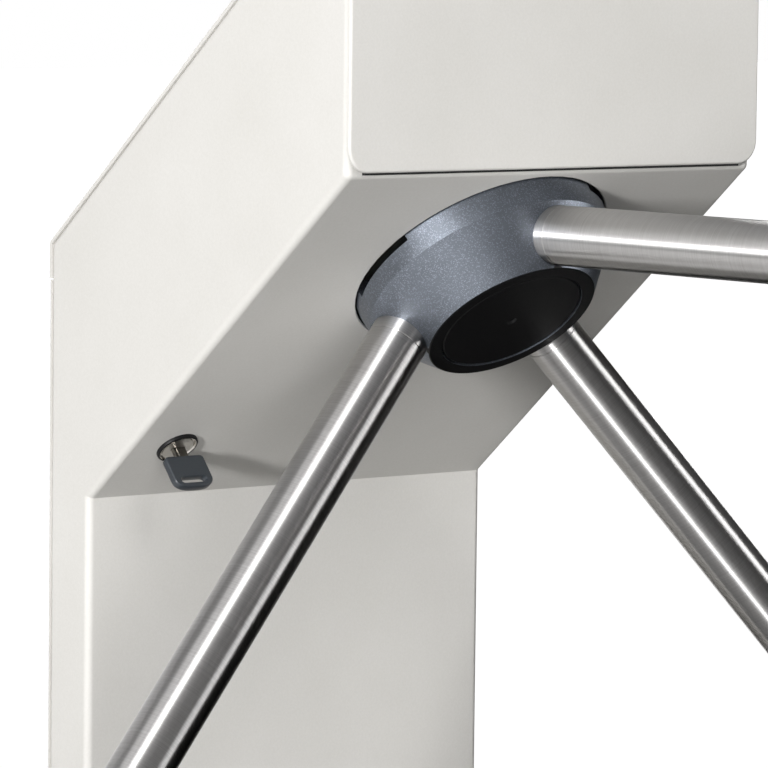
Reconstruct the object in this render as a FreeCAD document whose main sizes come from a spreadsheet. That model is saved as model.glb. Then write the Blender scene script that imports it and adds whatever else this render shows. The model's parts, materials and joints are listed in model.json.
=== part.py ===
import FreeCAD, Part
import math
import os
import re
import Sketcher
from FreeCAD import Placement, Rotation, Vector
from fcgear import fcgear, involute

# Tripod turnstile: a flat floor-standing post that leans out into a head.
# The head's inclined face carries a cone-shaped hub with three barrier arms.
# World frame: +X towards the passage, +Y along the walking direction, +Z up,
# origin on the floor at the middle of the anchor holes. Millimetres and degrees.

sizes = {
    # casing
    "case_width": 280,
    "case_depth": 36,
    "slab_offset": 40,
    "bend_height": 745,
    "slope_angle": 39.5,
    "head_reach": 225.5,
    "head_rise": 298,
    "head_depth": 129.5,
    "sheet": 2,
    "bend_radius": 4,
    "edge_radius": 2.6,
    "flange_width": 14,
    "flange_rise": 19,
    "window_inset": 35,
    "cut_margin": 10,
    "hub_hole_radius": 73.4,
    "hub_hole_chamfer": 0.6,
    # rear covers and lid
    "cover_sheet": 1.5,
    "cover_foot_gap": 2,
    "lid_sheet": 2,
    "lip_height": 19,
    "cover_seam": 1,
    "ridge_trim": 3,
    "lid_overhang": 1.5,
    "lid_drop": 2.3,
    "lid_corner_radius": 13,
    "lid_bend_radius": 6,
    "lid_edge_radius": 1.5,
    "seal_gap": 2,
    "seal_thickness": 1.7,
    "seal_drop": 1.2,
    "seal_width": 8,
    "seal_inset": 10,
    "cover_screw_radius": 2,
    "cover_screw_length": 3.4,
    "cover_screw_head_radius": 4.4,
    "cover_screw_head": 2.4,
    "cover_screw_margin": 45,
    # lid hinges
    "hinge_radius": 3,
    "hinge_pin_radius": 1.5,
    "hinge_clearance": 0.05,
    "hinge_length": 50,
    "hinge_middle": 20,
    "hinge_play": 0.4,
    "hinge_leaf_width": 24,
    "hinge_leaf": 1.5,
    "hinge_station": 104,
    # signal window in the lid
    "lens_length": 150,
    "lens_width": 34,
    "lens_proud": 1,
    "lens_edge_radius": 0.8,
    "lens_flange": 4,
    "lens_flange_thickness": 2,
    # base and inner frame
    "base_length": 300,
    "base_width": 300,
    "base_thickness": 10,
    "base_corner": 14,
    "base_edge": 2,
    "anchor_spacing": 240,
    "anchor_hole": 14,
    "grommet_hole": 26,
    "grommet_bore": 16,
    "grommet_lip": 3,
    "grommet_lip_height": 2,
    "post_side": 30,
    "post_wall": 2.5,
    "post_station": 120,
    "post_top": 100,
    "side_plate_thickness": 6,
    "side_plate_foot": 60,
    "side_plate_shoulder": 60,
    "rail_height": 20,
    "rail_thickness": 4,
    "rail_upper": 160,
    "rail_lower": 290,
    "board_length": 150,
    "board_height": 140,
    "board_thickness": 1.6,
    "board_gap": 6,
    "board_post_radius": 3,
    "board_edge": 10,
    "supply_length": 160,
    "supply_height": 70,
    "supply_depth": 24,
    "supply_drop": 40,
    # mechanism cage
    "plate_thickness": 6,
    "plate_down": 112,
    "plate_up": 70,
    "rear_plate_down": 92,
    "rear_plate_up": 70,
    "pillar_radius": 6,
    "pillar_down": 78,
    "pillar_up": 38,
    "pillar_side": 78,
    "standoff_radius": 6,
    "standoff_down": 96,
    "standoff_up": 56,
    "standoff_side": 80,
    "chassis_bolt_radius": 2.5,
    "chassis_bolt_head_radius": 4.5,
    "chassis_bolt_head": 4,
    "chassis_bolt_length": 22,
    "chassis_bolt_inset": 16,
    # shaft line
    "hub_station": 215,
    "shaft_radius": 12.5,
    "shoulder_radius": 16,
    "shoulder_length": 8,
    "boss_depth": 14,
    "boss_radius": 30,
    "bearing_outside": 47,
    "bearing_width": 12,
    "ball_radius": 3.2,
    "ball_play": 0.4,
    "ball_count": 9,
    "ring_wall": 3.3,
    "housing_radius": 31,
    "housing_flange_radius": 42,
    "housing_lip": 2,
    "housing_lip_radius": 19,
    "flange_thickness": 8,
    "housing_bolt_radius": 2,
    "housing_bolt_head_radius": 3.5,
    "housing_bolt_head": 3,
    "housing_bolt_circle": 37,
    "spacer_wall": 3.5,
    "gear_gap": 10,
    "stack_gap": 9,
    "thread_radius": 9,
    "thread_length": 13,
    "nut_height": 9,
    "nut_flats": 30,
    # gear and damper
    "gear_module": 1.5,
    "gear_teeth": 60,
    "pinion_teeth": 24,
    "gear_width": 10,
    "mesh_backlash": 0.5,
    "pressure_angle": 20,
    "damper_radius": 18,
    "damper_gap": 2,
    "damper_shaft_radius": 4,
    "damper_engagement": 9,
    "running_clearance": 0.06,
    # locking disc and bolts
    "disc_radius": 55,
    "disc_thickness": 8,
    "notch_count": 6,
    "notch_depth": 9,
    "notch_width": 13,
    "lock_bolt_width": 12,
    "lock_bolt_gap": 2.5,
    "lock_bolt_bar": 10,
    "plunger_radius": 6,
    "plunger_length": 24,
    "plunger_clearance": 0.4,
    "solenoid_gap": 1.5,
    "solenoid_width": 30,
    "solenoid_height": 34,
    # encoder
    "encoder_radius": 52,
    "encoder_thickness": 1.5,
    "encoder_slots": 24,
    "encoder_slot_length": 5,
    "encoder_slot_width": 3,
    "encoder_rim": 3,
    "sensor_width": 14,
    "sensor_reach": 7,
    "sensor_depth": 20,
    "sensor_gap": 2,
    "sensor_wall": 6,
    # hub
    "hub_skirt_radius": 72.2,
    "hub_skirt_back": 8,
    "hub_band_radius": 70.6,
    "hub_band": 13,
    "hub_front_radius": 48,
    "hub_front": 41.5,
    "hub_edge_radius": 1.2,
    "cap_recess_radius": 40.9,
    "cap_recess": 5.5,
    "cap_radius": 40.3,
    "cap_sink": 0.4,
    "cap_edge": 1,
    "cap_dimple_radius": 2.8,
    "cap_dimple_floor": 1.68,
    "cap_dimple": 1.2,
    "bolt_pocket_radius": 22,
    "bolt_pocket": 9,
    "hub_bolt_radius": 6,
    "hub_bolt_length": 34,
    "hub_bolt_head_radius": 18,
    "hub_bolt_head": 7,
    "rim_notch_length": 51,
    "rim_notch_height": 2.8,
    "near_notch_angle": 91,
    "under_notch_angle": 211,
    "far_notch_angle": 313,
    # arms
    "arm_apex": 21,
    "arm_radius": 16,
    "arm_wall": 2,
    "arm_length": 500,
    "socket_depth": 30,
    "socket_clearance": 0.05,
    "collar_length": 5.5,
    "collar_groove": 0.4,
    "spigot_length": 60,
    "spigot_clearance": 0.1,
    "end_cap_plug": 20,
    "end_cap_dome": 7,
    "end_cap_edge": 4,
    "spigot_screw_radius": 3,
    "spigot_screw_length": 14,
    "spigot_screw_head_radius": 3.6,
    "spigot_screw_head": 3,
    "spigot_screw_circle": 32,
    # key lock
    "lock_station": 47.5,
    "lock_side": 107,
    "lock_ring_radius": 12,
    "lock_ring_height": 2,
    "lock_ring_bevel": 0.7,
    "lock_recess_radius": 10.5,
    "lock_recess_floor": 0.3,
    "lock_washer_height": 0.3,
    "lock_barrel_radius": 9.4,
    "lock_barrel_length": 20,
    "lock_plug_radius": 7,
    "lock_plug_head": 9.2,
    "lock_plug_sink": 0.5,
    "lock_plug_tail": 4,
    "lock_nut_flats": 24,
    "lock_nut_height": 4,
    "lock_cam_length": 27,
    "lock_cam_width": 13,
    "lock_cam_thickness": 2.5,
    "key_width": 8.6,
    "key_thickness": 2,
    "key_play": 0.3,
    "key_depth": 20,
    "key_shank": 6,
    "bow_width": 25.6,
    "bow_length": 20.5,
    "bow_straight": 15.5,
    "bow_end_width": 19,
    "bow_thickness": 4.6,
    "bow_inner_corner": 2.2,
    "bow_side_corner": 3.5,
    "bow_end_corner": 8,
    "bow_edge": 0.8,
    "bow_slot_length": 17,
    "bow_slot_width": 3.8,
    "bow_slot_corner": 1.5,
    "bow_slot_inset": 3,
    "bow_socket": 8,
    # key switch
    "switch_length": 20,
    "switch_width": 12,
    "switch_height": 10,
    "switch_bracket": 2,
    "switch_button_radius": 1.5,
    "switch_button_proud": 2,
    "switch_button_depth": 4,
}

doc = FreeCAD.newDocument("tripod_turnstile")
sheet = doc.addObject("Spreadsheet::Sheet", "dims")
for row, (alias, number) in enumerate(sizes.items(), 1):
    sheet.set(f"A{row}", alias)
    sheet.set(f"B{row}", str(number))
    sheet.setAlias(f"B{row}", alias)
doc.recompute()


# Sizes, as expressions on the sheet and as numbers read from it

def link(text):
    return re.sub(r"[a-z_]+", lambda word: "dims." + word[0] if word[0] in sizes else word[0], text)


def value(text):
    result = sheet.evalExpression(link(text))
    return float(getattr(result, "Value", result))


def bind(piece, **properties):
    for name, text in properties.items():
        piece.setExpression(name, link(text))
    return piece


# Places: the world, the inclined face (x up the slope, y towards -Y, z outwards), the hub on it

def shift(x="0", y="0", z="0"):
    return Placement(Vector(value(x), value(y), value(z)), Rotation())


def turn(axis, degrees):
    return Placement(Vector(), Rotation(Vector(*axis), degrees))


half_slope = math.radians(value("slope_angle") / 2)
world = Placement()
face_axis = Vector(math.cos(half_slope), 0, math.sin(half_slope))
face_frame = shift("-slab_offset", "0", "bend_height") * Placement(Vector(), Rotation(face_axis, 180))
hub_frame = face_frame * shift("hub_station")
lock_frame = face_frame * shift("lock_station", "lock_side")

# Sketches and features

nodes = {}
sides = (1, -1)


def keep(name, piece):
    piece.Label = name
    nodes[name] = piece
    return piece


def start(name, frame=world):
    piece = doc.addObject("PartDesign::Body", name)
    piece.Placement = frame
    return piece


def draw(piece, plane, lift="0"):
    drawing = piece.newObject("Sketcher::SketchObject", piece.Name + "_sketch")
    support = [item for item in piece.Origin.OriginFeatures if item.Role == plane + "_Plane"]
    drawing.AttachmentSupport = [(support[0], "")]
    drawing.MapMode = "FlatFace"
    drawing.setExpression("AttachmentOffset.Base.z", link(lift))
    return drawing


def pin_point(drawing, line, end, x, y):
    for kind, text in (("DistanceX", x), ("DistanceY", y)):
        index = drawing.addConstraint(Sketcher.Constraint(kind, -1, 1, line, end, value(text)))
        drawing.setExpression(f"Constraints[{index}]", link(text))


def polygon(drawing, points):
    corners = [Vector(value(x), value(y), 0) for x, y in points]
    first = drawing.GeometryCount
    count = len(points)
    for index in range(count):
        drawing.addGeometry(Part.LineSegment(corners[index], corners[(index + 1) % count]), False)
    for index, (x, y) in enumerate(points):
        following = first + (index + 1) % count
        drawing.addConstraint(Sketcher.Constraint("Coincident", first + index, 2, following, 1))
        pin_point(drawing, first + index, 1, x, y)
    return drawing


def rectangle(drawing, left, low, right, high):
    return polygon(drawing, [(left, low), (right, low), (right, high), (left, high)])


def circle(drawing, radius, x="0", y="0"):
    ring = Part.Circle(Vector(value(x), value(y), 0), Vector(0, 0, 1), value(radius))
    index = drawing.addGeometry(ring, False)
    pin_point(drawing, index, 3, x, y)
    limit = drawing.addConstraint(Sketcher.Constraint("Radius", index, value(radius)))
    drawing.setExpression(f"Constraints[{limit}]", link(radius))
    return drawing


def feature(kind, piece, drawing, length, middle=False, back=False):
    step = piece.newObject("PartDesign::" + kind, piece.Name + "_" + kind.lower())
    step.Profile = drawing
    step.Midplane = middle
    step.Reversed = back
    return bind(step, Length=length)


def pad(piece, drawing, length, **options):
    return feature("Pad", piece, drawing, length, **options)


def pocket(piece, drawing, length, **options):
    return feature("Pocket", piece, drawing, length, **options)


def lathe(name, frame, points):
    piece = start(name, frame)
    drawing = polygon(draw(piece, "XZ"), points)
    spin = piece.newObject("PartDesign::Revolution", name + "_spin")
    spin.Profile = drawing
    spin.ReferenceAxis = (drawing, ["V_Axis"])
    spin.Angle = 360
    return piece


def tube(name, frame, inner, outer, low, high):
    return lathe(name, frame, [(inner, low), (outer, low), (outer, high), (inner, high)])


def screw(name, frame, head_radius, head, shank_radius, shank):
    profile = [("0", f"-({shank})"), (shank_radius, f"-({shank})"), (shank_radius, "0")]
    profile += [(head_radius, "0"), (head_radius, head), ("0", head)]
    return lathe(name, frame, profile)


def round_edges(piece, radius, test):
    doc.recompute()
    base = piece.Tip
    edges = [f"Edge{index}" for index, edge in enumerate(base.Shape.Edges, 1) if test(edge)]
    step = piece.newObject("PartDesign::Fillet", piece.Name + "_fillet")
    step.Base = (base, edges)
    return bind(step, Radius=radius)


def repeat(piece, step, drawing, count):
    pattern = piece.newObject("PartDesign::PolarPattern", piece.Name + "_pattern")
    pattern.Originals = [step]
    pattern.Axis = (drawing, ["N_Axis"])
    pattern.Angle = 360
    piece.Tip = pattern
    return bind(pattern, Occurrences=count)


def cylinder(name, frame, radius, low, high):
    rod = doc.addObject("Part::Cylinder", name)
    bind(rod, Radius=radius, Height=f"({high}) - ({low})")
    rod.Placement = frame * shift("0", "0", low)
    return rod


def block(name, frame, low, high):
    box = doc.addObject("Part::Box", name)
    lengths = [f"({top}) - ({bottom})" for bottom, top in zip(low, high)]
    bind(box, Length=lengths[0], Width=lengths[1], Height=lengths[2])
    box.Placement = frame * shift(*low)
    return box


def group(name, pieces):
    bundle = doc.addObject("Part::Compound", name)
    bundle.Links = pieces
    return bundle


def cut(name, base, tools):
    result = doc.addObject("Part::Cut", name)
    result.Base = base
    result.Tool = tools[0] if len(tools) == 1 else group(name + "_tools", tools)
    return result


def fuse(name, pieces):
    result = doc.addObject("Part::MultiFuse", name)
    result.Shapes = pieces
    return result


# Stations that several pieces share

tilt = "(slope_angle * 1deg)"
face_x = "(-slab_offset)"
back_x = "(-slab_offset - case_depth)"
slab_middle = "(-slab_offset - case_depth / 2)"
front_x = "(head_reach - slab_offset)"
corner_z = f"(bend_height + head_reach * tan{tilt})"
top_z = "(bend_height + head_rise)"
ridge_x = f"((head_rise * cos{tilt} - head_depth) / sin{tilt} - slab_offset)"
ridge_along = f"((head_rise - head_depth * cos{tilt}) / sin{tilt})"
heel_z = f"(bend_height + (head_depth - case_depth * sin{tilt}) / cos{tilt})"
seam_z = f"({heel_z} - lip_height)"
half_width = "(case_width / 2)"

# Along the shaft, in the hub frame
front_seat = "(-boss_depth - shoulder_length)"
plate_back = f"({front_seat} - plate_thickness)"
flange_back = f"({plate_back} - flange_thickness)"
bearing_back = f"({front_seat} - bearing_width)"
gear_front = f"({flange_back} - gear_gap)"
gear_back = f"({gear_front} - gear_width)"
disc_front = f"({gear_back} - stack_gap)"
disc_back = f"({disc_front} - disc_thickness)"
encoder_front = f"({disc_back} - stack_gap)"
encoder_back = f"({encoder_front} - encoder_thickness)"
rear_flange_front = f"({encoder_back} - stack_gap)"
rear_plate_front = f"({rear_flange_front} - flange_thickness)"
rear_plate_back = f"({rear_plate_front} - plate_thickness)"
rear_bearing_front = f"({rear_plate_back} + bearing_width)"
shaft_end = f"({rear_plate_back} - thread_length)"
hub_seat = "(hub_front - cap_recess - bolt_pocket)"
plate_side = "(post_station - post_side / 2)"
cage_side = f"({plate_side} - side_plate_thickness)"


def on_face(along, out):
    x = f"({face_x} + ({along}) * cos{tilt} + ({out}) * sin{tilt})"
    z = f"(bend_height + ({along}) * sin{tilt} - ({out}) * cos{tilt})"
    return x, z


# Places of repeated fasteners

def quarter_points(down, up, side):
    return [(x, y) for x in (f"-{down}", up) for y in (side, f"-{side}")]


standoff_points = quarter_points("standoff_down", "standoff_up", "standoff_side")
pillar_points = quarter_points("pillar_down", "pillar_up", "pillar_side")
bolt_side = f"({plate_side} - side_plate_thickness / 2)"
bolt_down = "(plate_down - chassis_bolt_inset)"
bolt_up = "(plate_up - chassis_bolt_inset)"
chassis_points = quarter_points(bolt_down, bolt_up, bolt_side)
outward_from_back = turn((0, 1, 0), -90)
outward_from_slope = turn((1, 0, 0), 180)
screw_side = f"({half_width} - flange_width / 2)"
cover_low = "(base_thickness + cover_foot_gap)"
cover_screw_heights = [
    f"({cover_low} + cover_screw_margin)",
    f"(({cover_low} + {seam_z}) / 2)",
    f"({seam_z} - cover_screw_margin)",
]
heel_along = f"((head_depth - case_depth * sin{tilt}) * tan{tilt} - case_depth * cos{tilt})"
slope_low = f"({heel_along} + cover_screw_margin)"
slope_high = f"({ridge_along} - cover_screw_margin)"
lower_screw_frames = [
    shift(f"{back_x} - cover_sheet", f"{side} * {screw_side}", height) * outward_from_back
    for height in cover_screw_heights
    for side in sides
]
upper_screw_frames = [
    face_frame * shift(along, f"{side} * {screw_side}", "-head_depth - lid_sheet") * outward_from_slope
    for along in (slope_low, slope_high)
    for side in sides
]


def screw_holes(name, frames):
    return [
        cylinder(f"{name}_hole_{index}", frame, "cover_screw_radius", "-cover_screw_length", "cut_margin")
        for index, frame in enumerate(frames)
    ]


# Base plate with anchor holes and the cable hole under the slab
base = start("base_plate")
plan = rectangle(draw(base, "XY"), "-base_length / 2", "-base_width / 2", "base_length / 2", "base_width / 2")
circle(plan, "grommet_hole / 2", slab_middle)
for x in sides:
    for y in sides:
        circle(plan, "anchor_hole / 2", f"{x} * anchor_spacing / 2", f"{y} * anchor_spacing / 2")
pad(base, plan, "base_thickness")
corner_reach = value("base_length + base_width") / 2
round_edges(base, "base_corner", lambda edge: edge.BoundBox.XLength + edge.BoundBox.YLength < 1e-6
            and abs(edge.CenterOfMass.x) + abs(edge.CenterOfMass.y) > corner_reach - 1e-3)
base_top = value("base_thickness")
base_reach = value("base_length") / 2 - value("base_corner")
round_edges(base, "base_edge", lambda edge: abs(edge.BoundBox.ZMin - base_top) < 1e-6
            and max(abs(edge.CenterOfMass.x), abs(edge.CenterOfMass.y)) > base_reach
            and len(edge.Vertexes) > 1)
keep("base_plate", base)

grommet_top = "(base_thickness + grommet_lip_height)"
grommet_rim = "(grommet_hole / 2 + grommet_lip)"
grommet_profile = [("grommet_bore / 2", "grommet_lip_height"), ("grommet_hole / 2", "grommet_lip_height")]
grommet_profile += [("grommet_hole / 2", "base_thickness"), (grommet_rim, "base_thickness")]
grommet_profile += [(grommet_rim, grommet_top), ("grommet_bore / 2", grommet_top)]
grommet_ring = lathe("grommet_ring", shift(slab_middle), grommet_profile)
grommet_walls = [
    block("grommet_front_wall", world, (f"{face_x} - sheet", f"-{grommet_rim}", "0"),
          (f"{face_x} + cut_margin", grommet_rim, grommet_top)),
    block("grommet_rear_wall", world, (f"{back_x} - cut_margin", f"-{grommet_rim}", "0"),
          (f"{back_x} + sheet", grommet_rim, grommet_top)),
]
keep("cable_grommet", cut("cable_grommet", grommet_ring, grommet_walls))

# Two square-tube posts inside the slab, tied by two flat rails
posts = []
for side, word in zip(sides, ("far", "near")):
    post = start("post_" + word, shift(slab_middle, f"{side} * post_station"))
    plan = draw(post, "XY", "base_thickness")
    half = "(post_side / 2)"
    rectangle(plan, f"-{half}", f"-{half}", half, half)
    bore = "(post_side / 2 - post_wall)"
    rectangle(plan, f"-{bore}", f"-{bore}", bore, bore)
    pad(post, plan, "bend_height + post_top - base_thickness")
    posts.append(post)
keep("posts", group("posts", posts))

rails = []
rail_back = f"({slab_middle} - rail_thickness)"
for word in ("upper", "lower"):
    low = f"(bend_height - rail_{word} - rail_height)"
    high = f"(bend_height - rail_{word})"
    rail_low = (rail_back, f"-{plate_side}", low)
    rail_high = (slab_middle, plate_side, high)
    rails.append(block("rail_" + word, world, rail_low, rail_high))
keep("cross_rails", group("cross_rails", rails))

# Casing: one bent and welded sheet with flanged windows at the back, slope, top and front
edge_angle = math.radians(value("slope_angle"))
bend_z = value("bend_height")


def case_solid(name, inset, foot):
    turn_in = f"({inset}) * (1 - sin{tilt}) / cos{tilt}"
    depth = f"(head_depth - {inset})"
    high = f"(head_rise - {inset})"
    deep = f"(case_depth - {inset})"
    outline = [
        (f"{face_x} - {inset}", foot),
        (f"{face_x} - {inset}", f"bend_height + {turn_in}"),
        (f"{front_x} - {inset}", f"{corner_z} + {turn_in}"),
        (f"{front_x} - {inset}", f"{top_z} - {inset}"),
        (f"({high} * cos{tilt} - {depth}) / sin{tilt} - slab_offset", f"{top_z} - {inset}"),
        (f"{back_x} + {inset}", f"bend_height + ({depth} - {deep} * sin{tilt}) / cos{tilt}"),
        (f"{back_x} + {inset}", foot),
    ]
    piece = start(name)
    pad(piece, polygon(draw(piece, "XZ"), outline), f"case_width - 2 * ({inset})", middle=True)
    depth_in = value(inset)
    end_y = value(f"{half_width} - {inset}")
    upright = (value(face_x) - depth_in, value(front_x) - depth_in)
    front_corner = value(f"{corner_z} + {turn_in}")

    def on_passage_side(point):
        across = (point.x - value(face_x)) * math.sin(edge_angle) - (point.z - bend_z) * math.cos(edge_angle)
        on_slope = abs(across + depth_in) < 1e-6 and point.z >= bend_z - 1e-6
        return on_slope or min(abs(point.x - line) for line in upright) < 1e-6

    def passage_edge(edge):
        middle = edge.CenterOfMass
        bend = abs(middle.y) < 1e-6 and abs(middle.z - front_corner) < 1e-6
        ends = [vertex.Point for vertex in edge.Vertexes]
        rim = abs(abs(middle.y) - end_y) < 1e-6 and all(on_passage_side(point) for point in ends)
        return on_passage_side(middle) and (bend or rim)

    round_edges(piece, f"bend_radius - {inset}", passage_edge)
    return piece, on_passage_side


case, on_passage = case_solid("case_body", "0", "base_thickness")
case_end = value(half_width)


def cover_side_end(edge):
    middle = edge.CenterOfMass
    points = [vertex.Point for vertex in edge.Vertexes] + [middle]
    at_end = all(abs(abs(point.y) - case_end) < 1e-6 for point in points)
    return at_end and middle.z > base_top + 1e-6 and not on_passage(middle)


round_edges(case, "edge_radius", cover_side_end)
core = case_solid("case_core", "sheet", "base_thickness - cut_margin")[0]
flange_top = f"({corner_z} + flange_rise)"
flange_low = "(base_thickness + flange_width)"
rear_window = [
    (f"{back_x} - cut_margin", flange_low),
    (slab_middle, flange_low),
    (slab_middle, "bend_height + window_inset"),
    on_face(f"{ridge_along} - flange_width", "-head_depth + window_inset"),
    on_face(f"{ridge_along} - flange_width", "-head_depth - cut_margin"),
    (f"{back_x} - cut_margin",
     f"bend_height + (head_depth + cut_margin - (case_depth + cut_margin) * sin{tilt}) / cos{tilt}"),
]
front_window = [
    (f"{ridge_x} + flange_width", f"{top_z} + cut_margin"),
    (f"{front_x} + cut_margin", f"{top_z} + cut_margin"),
    (f"{front_x} + cut_margin", flange_top),
    (f"{front_x} - window_inset", flange_top),
    (f"{ridge_x} + flange_width", f"{top_z} - window_inset"),
]
openings = []
for name, points in (("rear_window", rear_window), ("front_window", front_window)):
    opening = start(name)
    pad(opening, polygon(draw(opening, "XZ"), points), "case_width - 2 * flange_width", middle=True)
    openings.append(opening)
case_holes = [
    core,
    *openings,
    lathe("hub_opening", hub_frame, [
        ("0", "-cut_margin"),
        ("hub_hole_radius", "-cut_margin"),
        ("hub_hole_radius", "-hub_hole_chamfer"),
        ("hub_hole_radius + 2 * hub_hole_chamfer", "hub_hole_chamfer"),
        ("0", "hub_hole_chamfer"),
    ]),
    cylinder("lock_opening", lock_frame, "lock_barrel_radius", "-cut_margin", "cut_margin"),
]
case_holes += screw_holes("case", lower_screw_frames + upper_screw_frames)
keep("case_shell", cut("case_shell", case, case_holes))

# Rear covers: a flat one on the slab, a folded one over the heel and up the slope
flat_cover = start("flat_cover")
plan = draw(flat_cover, "YZ", back_x)
rectangle(plan, f"-{half_width}", cover_low, half_width, f"{seam_z} - cover_seam")
pad(flat_cover, plan, "cover_sheet", back=True)
outer_back = value(f"{back_x} - cover_sheet")
round_edges(flat_cover, "cover_sheet / 2", lambda edge: edge.BoundBox.XMax < outer_back + 1e-6)
keep("lower_rear_cover", cut("lower_rear_cover", flat_cover, screw_holes("flat_cover", lower_screw_frames)))

folded = start("folded_cover")
outer_x = f"({back_x} - lid_sheet)"
outer_heel = f"(bend_height + (head_depth + lid_sheet - (case_depth + lid_sheet) * sin{tilt}) / cos{tilt})"
cover_end = f"({ridge_x} - ridge_trim)"
end_drop = f"(ridge_trim * tan{tilt})"
fold = [
    (back_x, seam_z),
    (outer_x, seam_z),
    (outer_x, outer_heel),
    (cover_end, f"{top_z} + lid_sheet / cos{tilt} - {end_drop}"),
    (cover_end, f"{top_z} - {end_drop}"),
    (back_x, heel_z),
]
pad(folded, polygon(draw(folded, "XZ"), fold), "case_width", middle=True)
outer_fold_x = value(outer_x)
outer_fold_z = value(outer_heel)
round_edges(folded, "bend_radius", lambda edge: abs(edge.CenterOfMass.x - outer_fold_x) < 1e-6
            and abs(edge.CenterOfMass.z - outer_fold_z) < 1e-6)
keep("upper_rear_cover", cut("upper_rear_cover", folded, screw_holes("folded_cover", upper_screw_frames)))

cover_screws = [
    screw(f"cover_screw_{index}", frame, "cover_screw_head_radius", "cover_screw_head",
          "cover_screw_radius", "cover_screw_length")
    for index, frame in enumerate(lower_screw_frames + upper_screw_frames)
]
keep("rear_cover_screws", group("rear_cover_screws", cover_screws))

# Lid: top plate and front panel in one folded sheet, with the signal window's cut-out
lid_body = start("lid_body")
lid_start = f"({ridge_x} + ridge_trim)"
lid_front = f"({front_x} + seal_gap + lid_sheet)"
lid_low = f"({corner_z} + lid_drop)"
lid_top = f"({top_z} + lid_sheet)"
lid_fold = [
    (lid_start, top_z),
    (lid_start, lid_top),
    (lid_front, lid_top),
    (lid_front, lid_low),
    (f"{lid_front} - lid_sheet", lid_low),
    (f"{lid_front} - lid_sheet", top_z),
]
pad(lid_body, polygon(draw(lid_body, "XZ"), lid_fold), "case_width + 2 * lid_overhang", middle=True)
lid_front_x = value(lid_front)
lid_top_z = value(lid_top)
lid_low_z = value(lid_low)
lid_inner_x = value(f"{lid_front} - lid_sheet")
inner_top_z = value(top_z)
round_edges(lid_body, "lid_bend_radius", lambda edge: abs(edge.CenterOfMass.x - lid_front_x) < 1e-6
            and abs(edge.CenterOfMass.z - lid_top_z) < 1e-6)
round_edges(lid_body, "lid_bend_radius - lid_sheet",
            lambda edge: abs(edge.CenterOfMass.x - lid_inner_x) < 1e-6
            and abs(edge.CenterOfMass.z - inner_top_z) < 1e-6 and edge.BoundBox.YLength > 1)
round_edges(lid_body, "lid_corner_radius", lambda edge: edge.BoundBox.YLength < 1e-6
            and edge.BoundBox.ZLength < 1e-6 and abs(edge.CenterOfMass.z - lid_low_z) < 1e-6)
round_edges(lid_body, "lid_edge_radius", lambda edge: edge.BoundBox.XLength < 1e-6
            and abs(edge.CenterOfMass.x - lid_front_x) < 1e-6
            and edge.CenterOfMass.z < lid_top_z - value("lid_bend_radius") - 1e-3)
lens_x = f"(({lid_start} + {lid_front}) / 2)"
lens_low = (f"{lens_x} - lens_width / 2", "-lens_length / 2", top_z)
lens_high = (f"{lens_x} + lens_width / 2", "lens_length / 2", f"{lid_top} + lens_proud")
lens_cut = block("lens_opening", world, lens_low, lens_high)
keep("lid", cut("lid", lid_body, [lens_cut]))

lens_top = start("lens_top")
plan = draw(lens_top, "XY", top_z)
rectangle(plan, lens_low[0], lens_low[1], lens_high[0], lens_high[1])
pad(lens_top, plan, "lid_sheet + lens_proud")
lens_top_z = value(f"{lid_top} + lens_proud")
round_edges(lens_top, "lens_edge_radius", lambda edge: edge.BoundBox.ZMin > lens_top_z - 1e-6)
rim_z = f"{top_z} - lens_flange_thickness"
lens_rim = block("lens_rim", world, (f"{lens_low[0]} - lens_flange", f"{lens_low[1]} - lens_flange", rim_z),
                 (f"{lens_high[0]} + lens_flange", f"{lens_high[1]} + lens_flange", top_z))
keep("indicator_lens", fuse("indicator_lens", [lens_top, lens_rim]))

seal_z = f"({corner_z} + seal_drop)"
seal_y = f"({half_width} - seal_inset)"
seal_low = (front_x, f"-{seal_y}", seal_z)
seal_high = (f"{front_x} + seal_thickness", seal_y, f"{seal_z} + seal_width")
keep("lid_seal", block("lid_seal", world, seal_low, seal_high))

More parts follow.
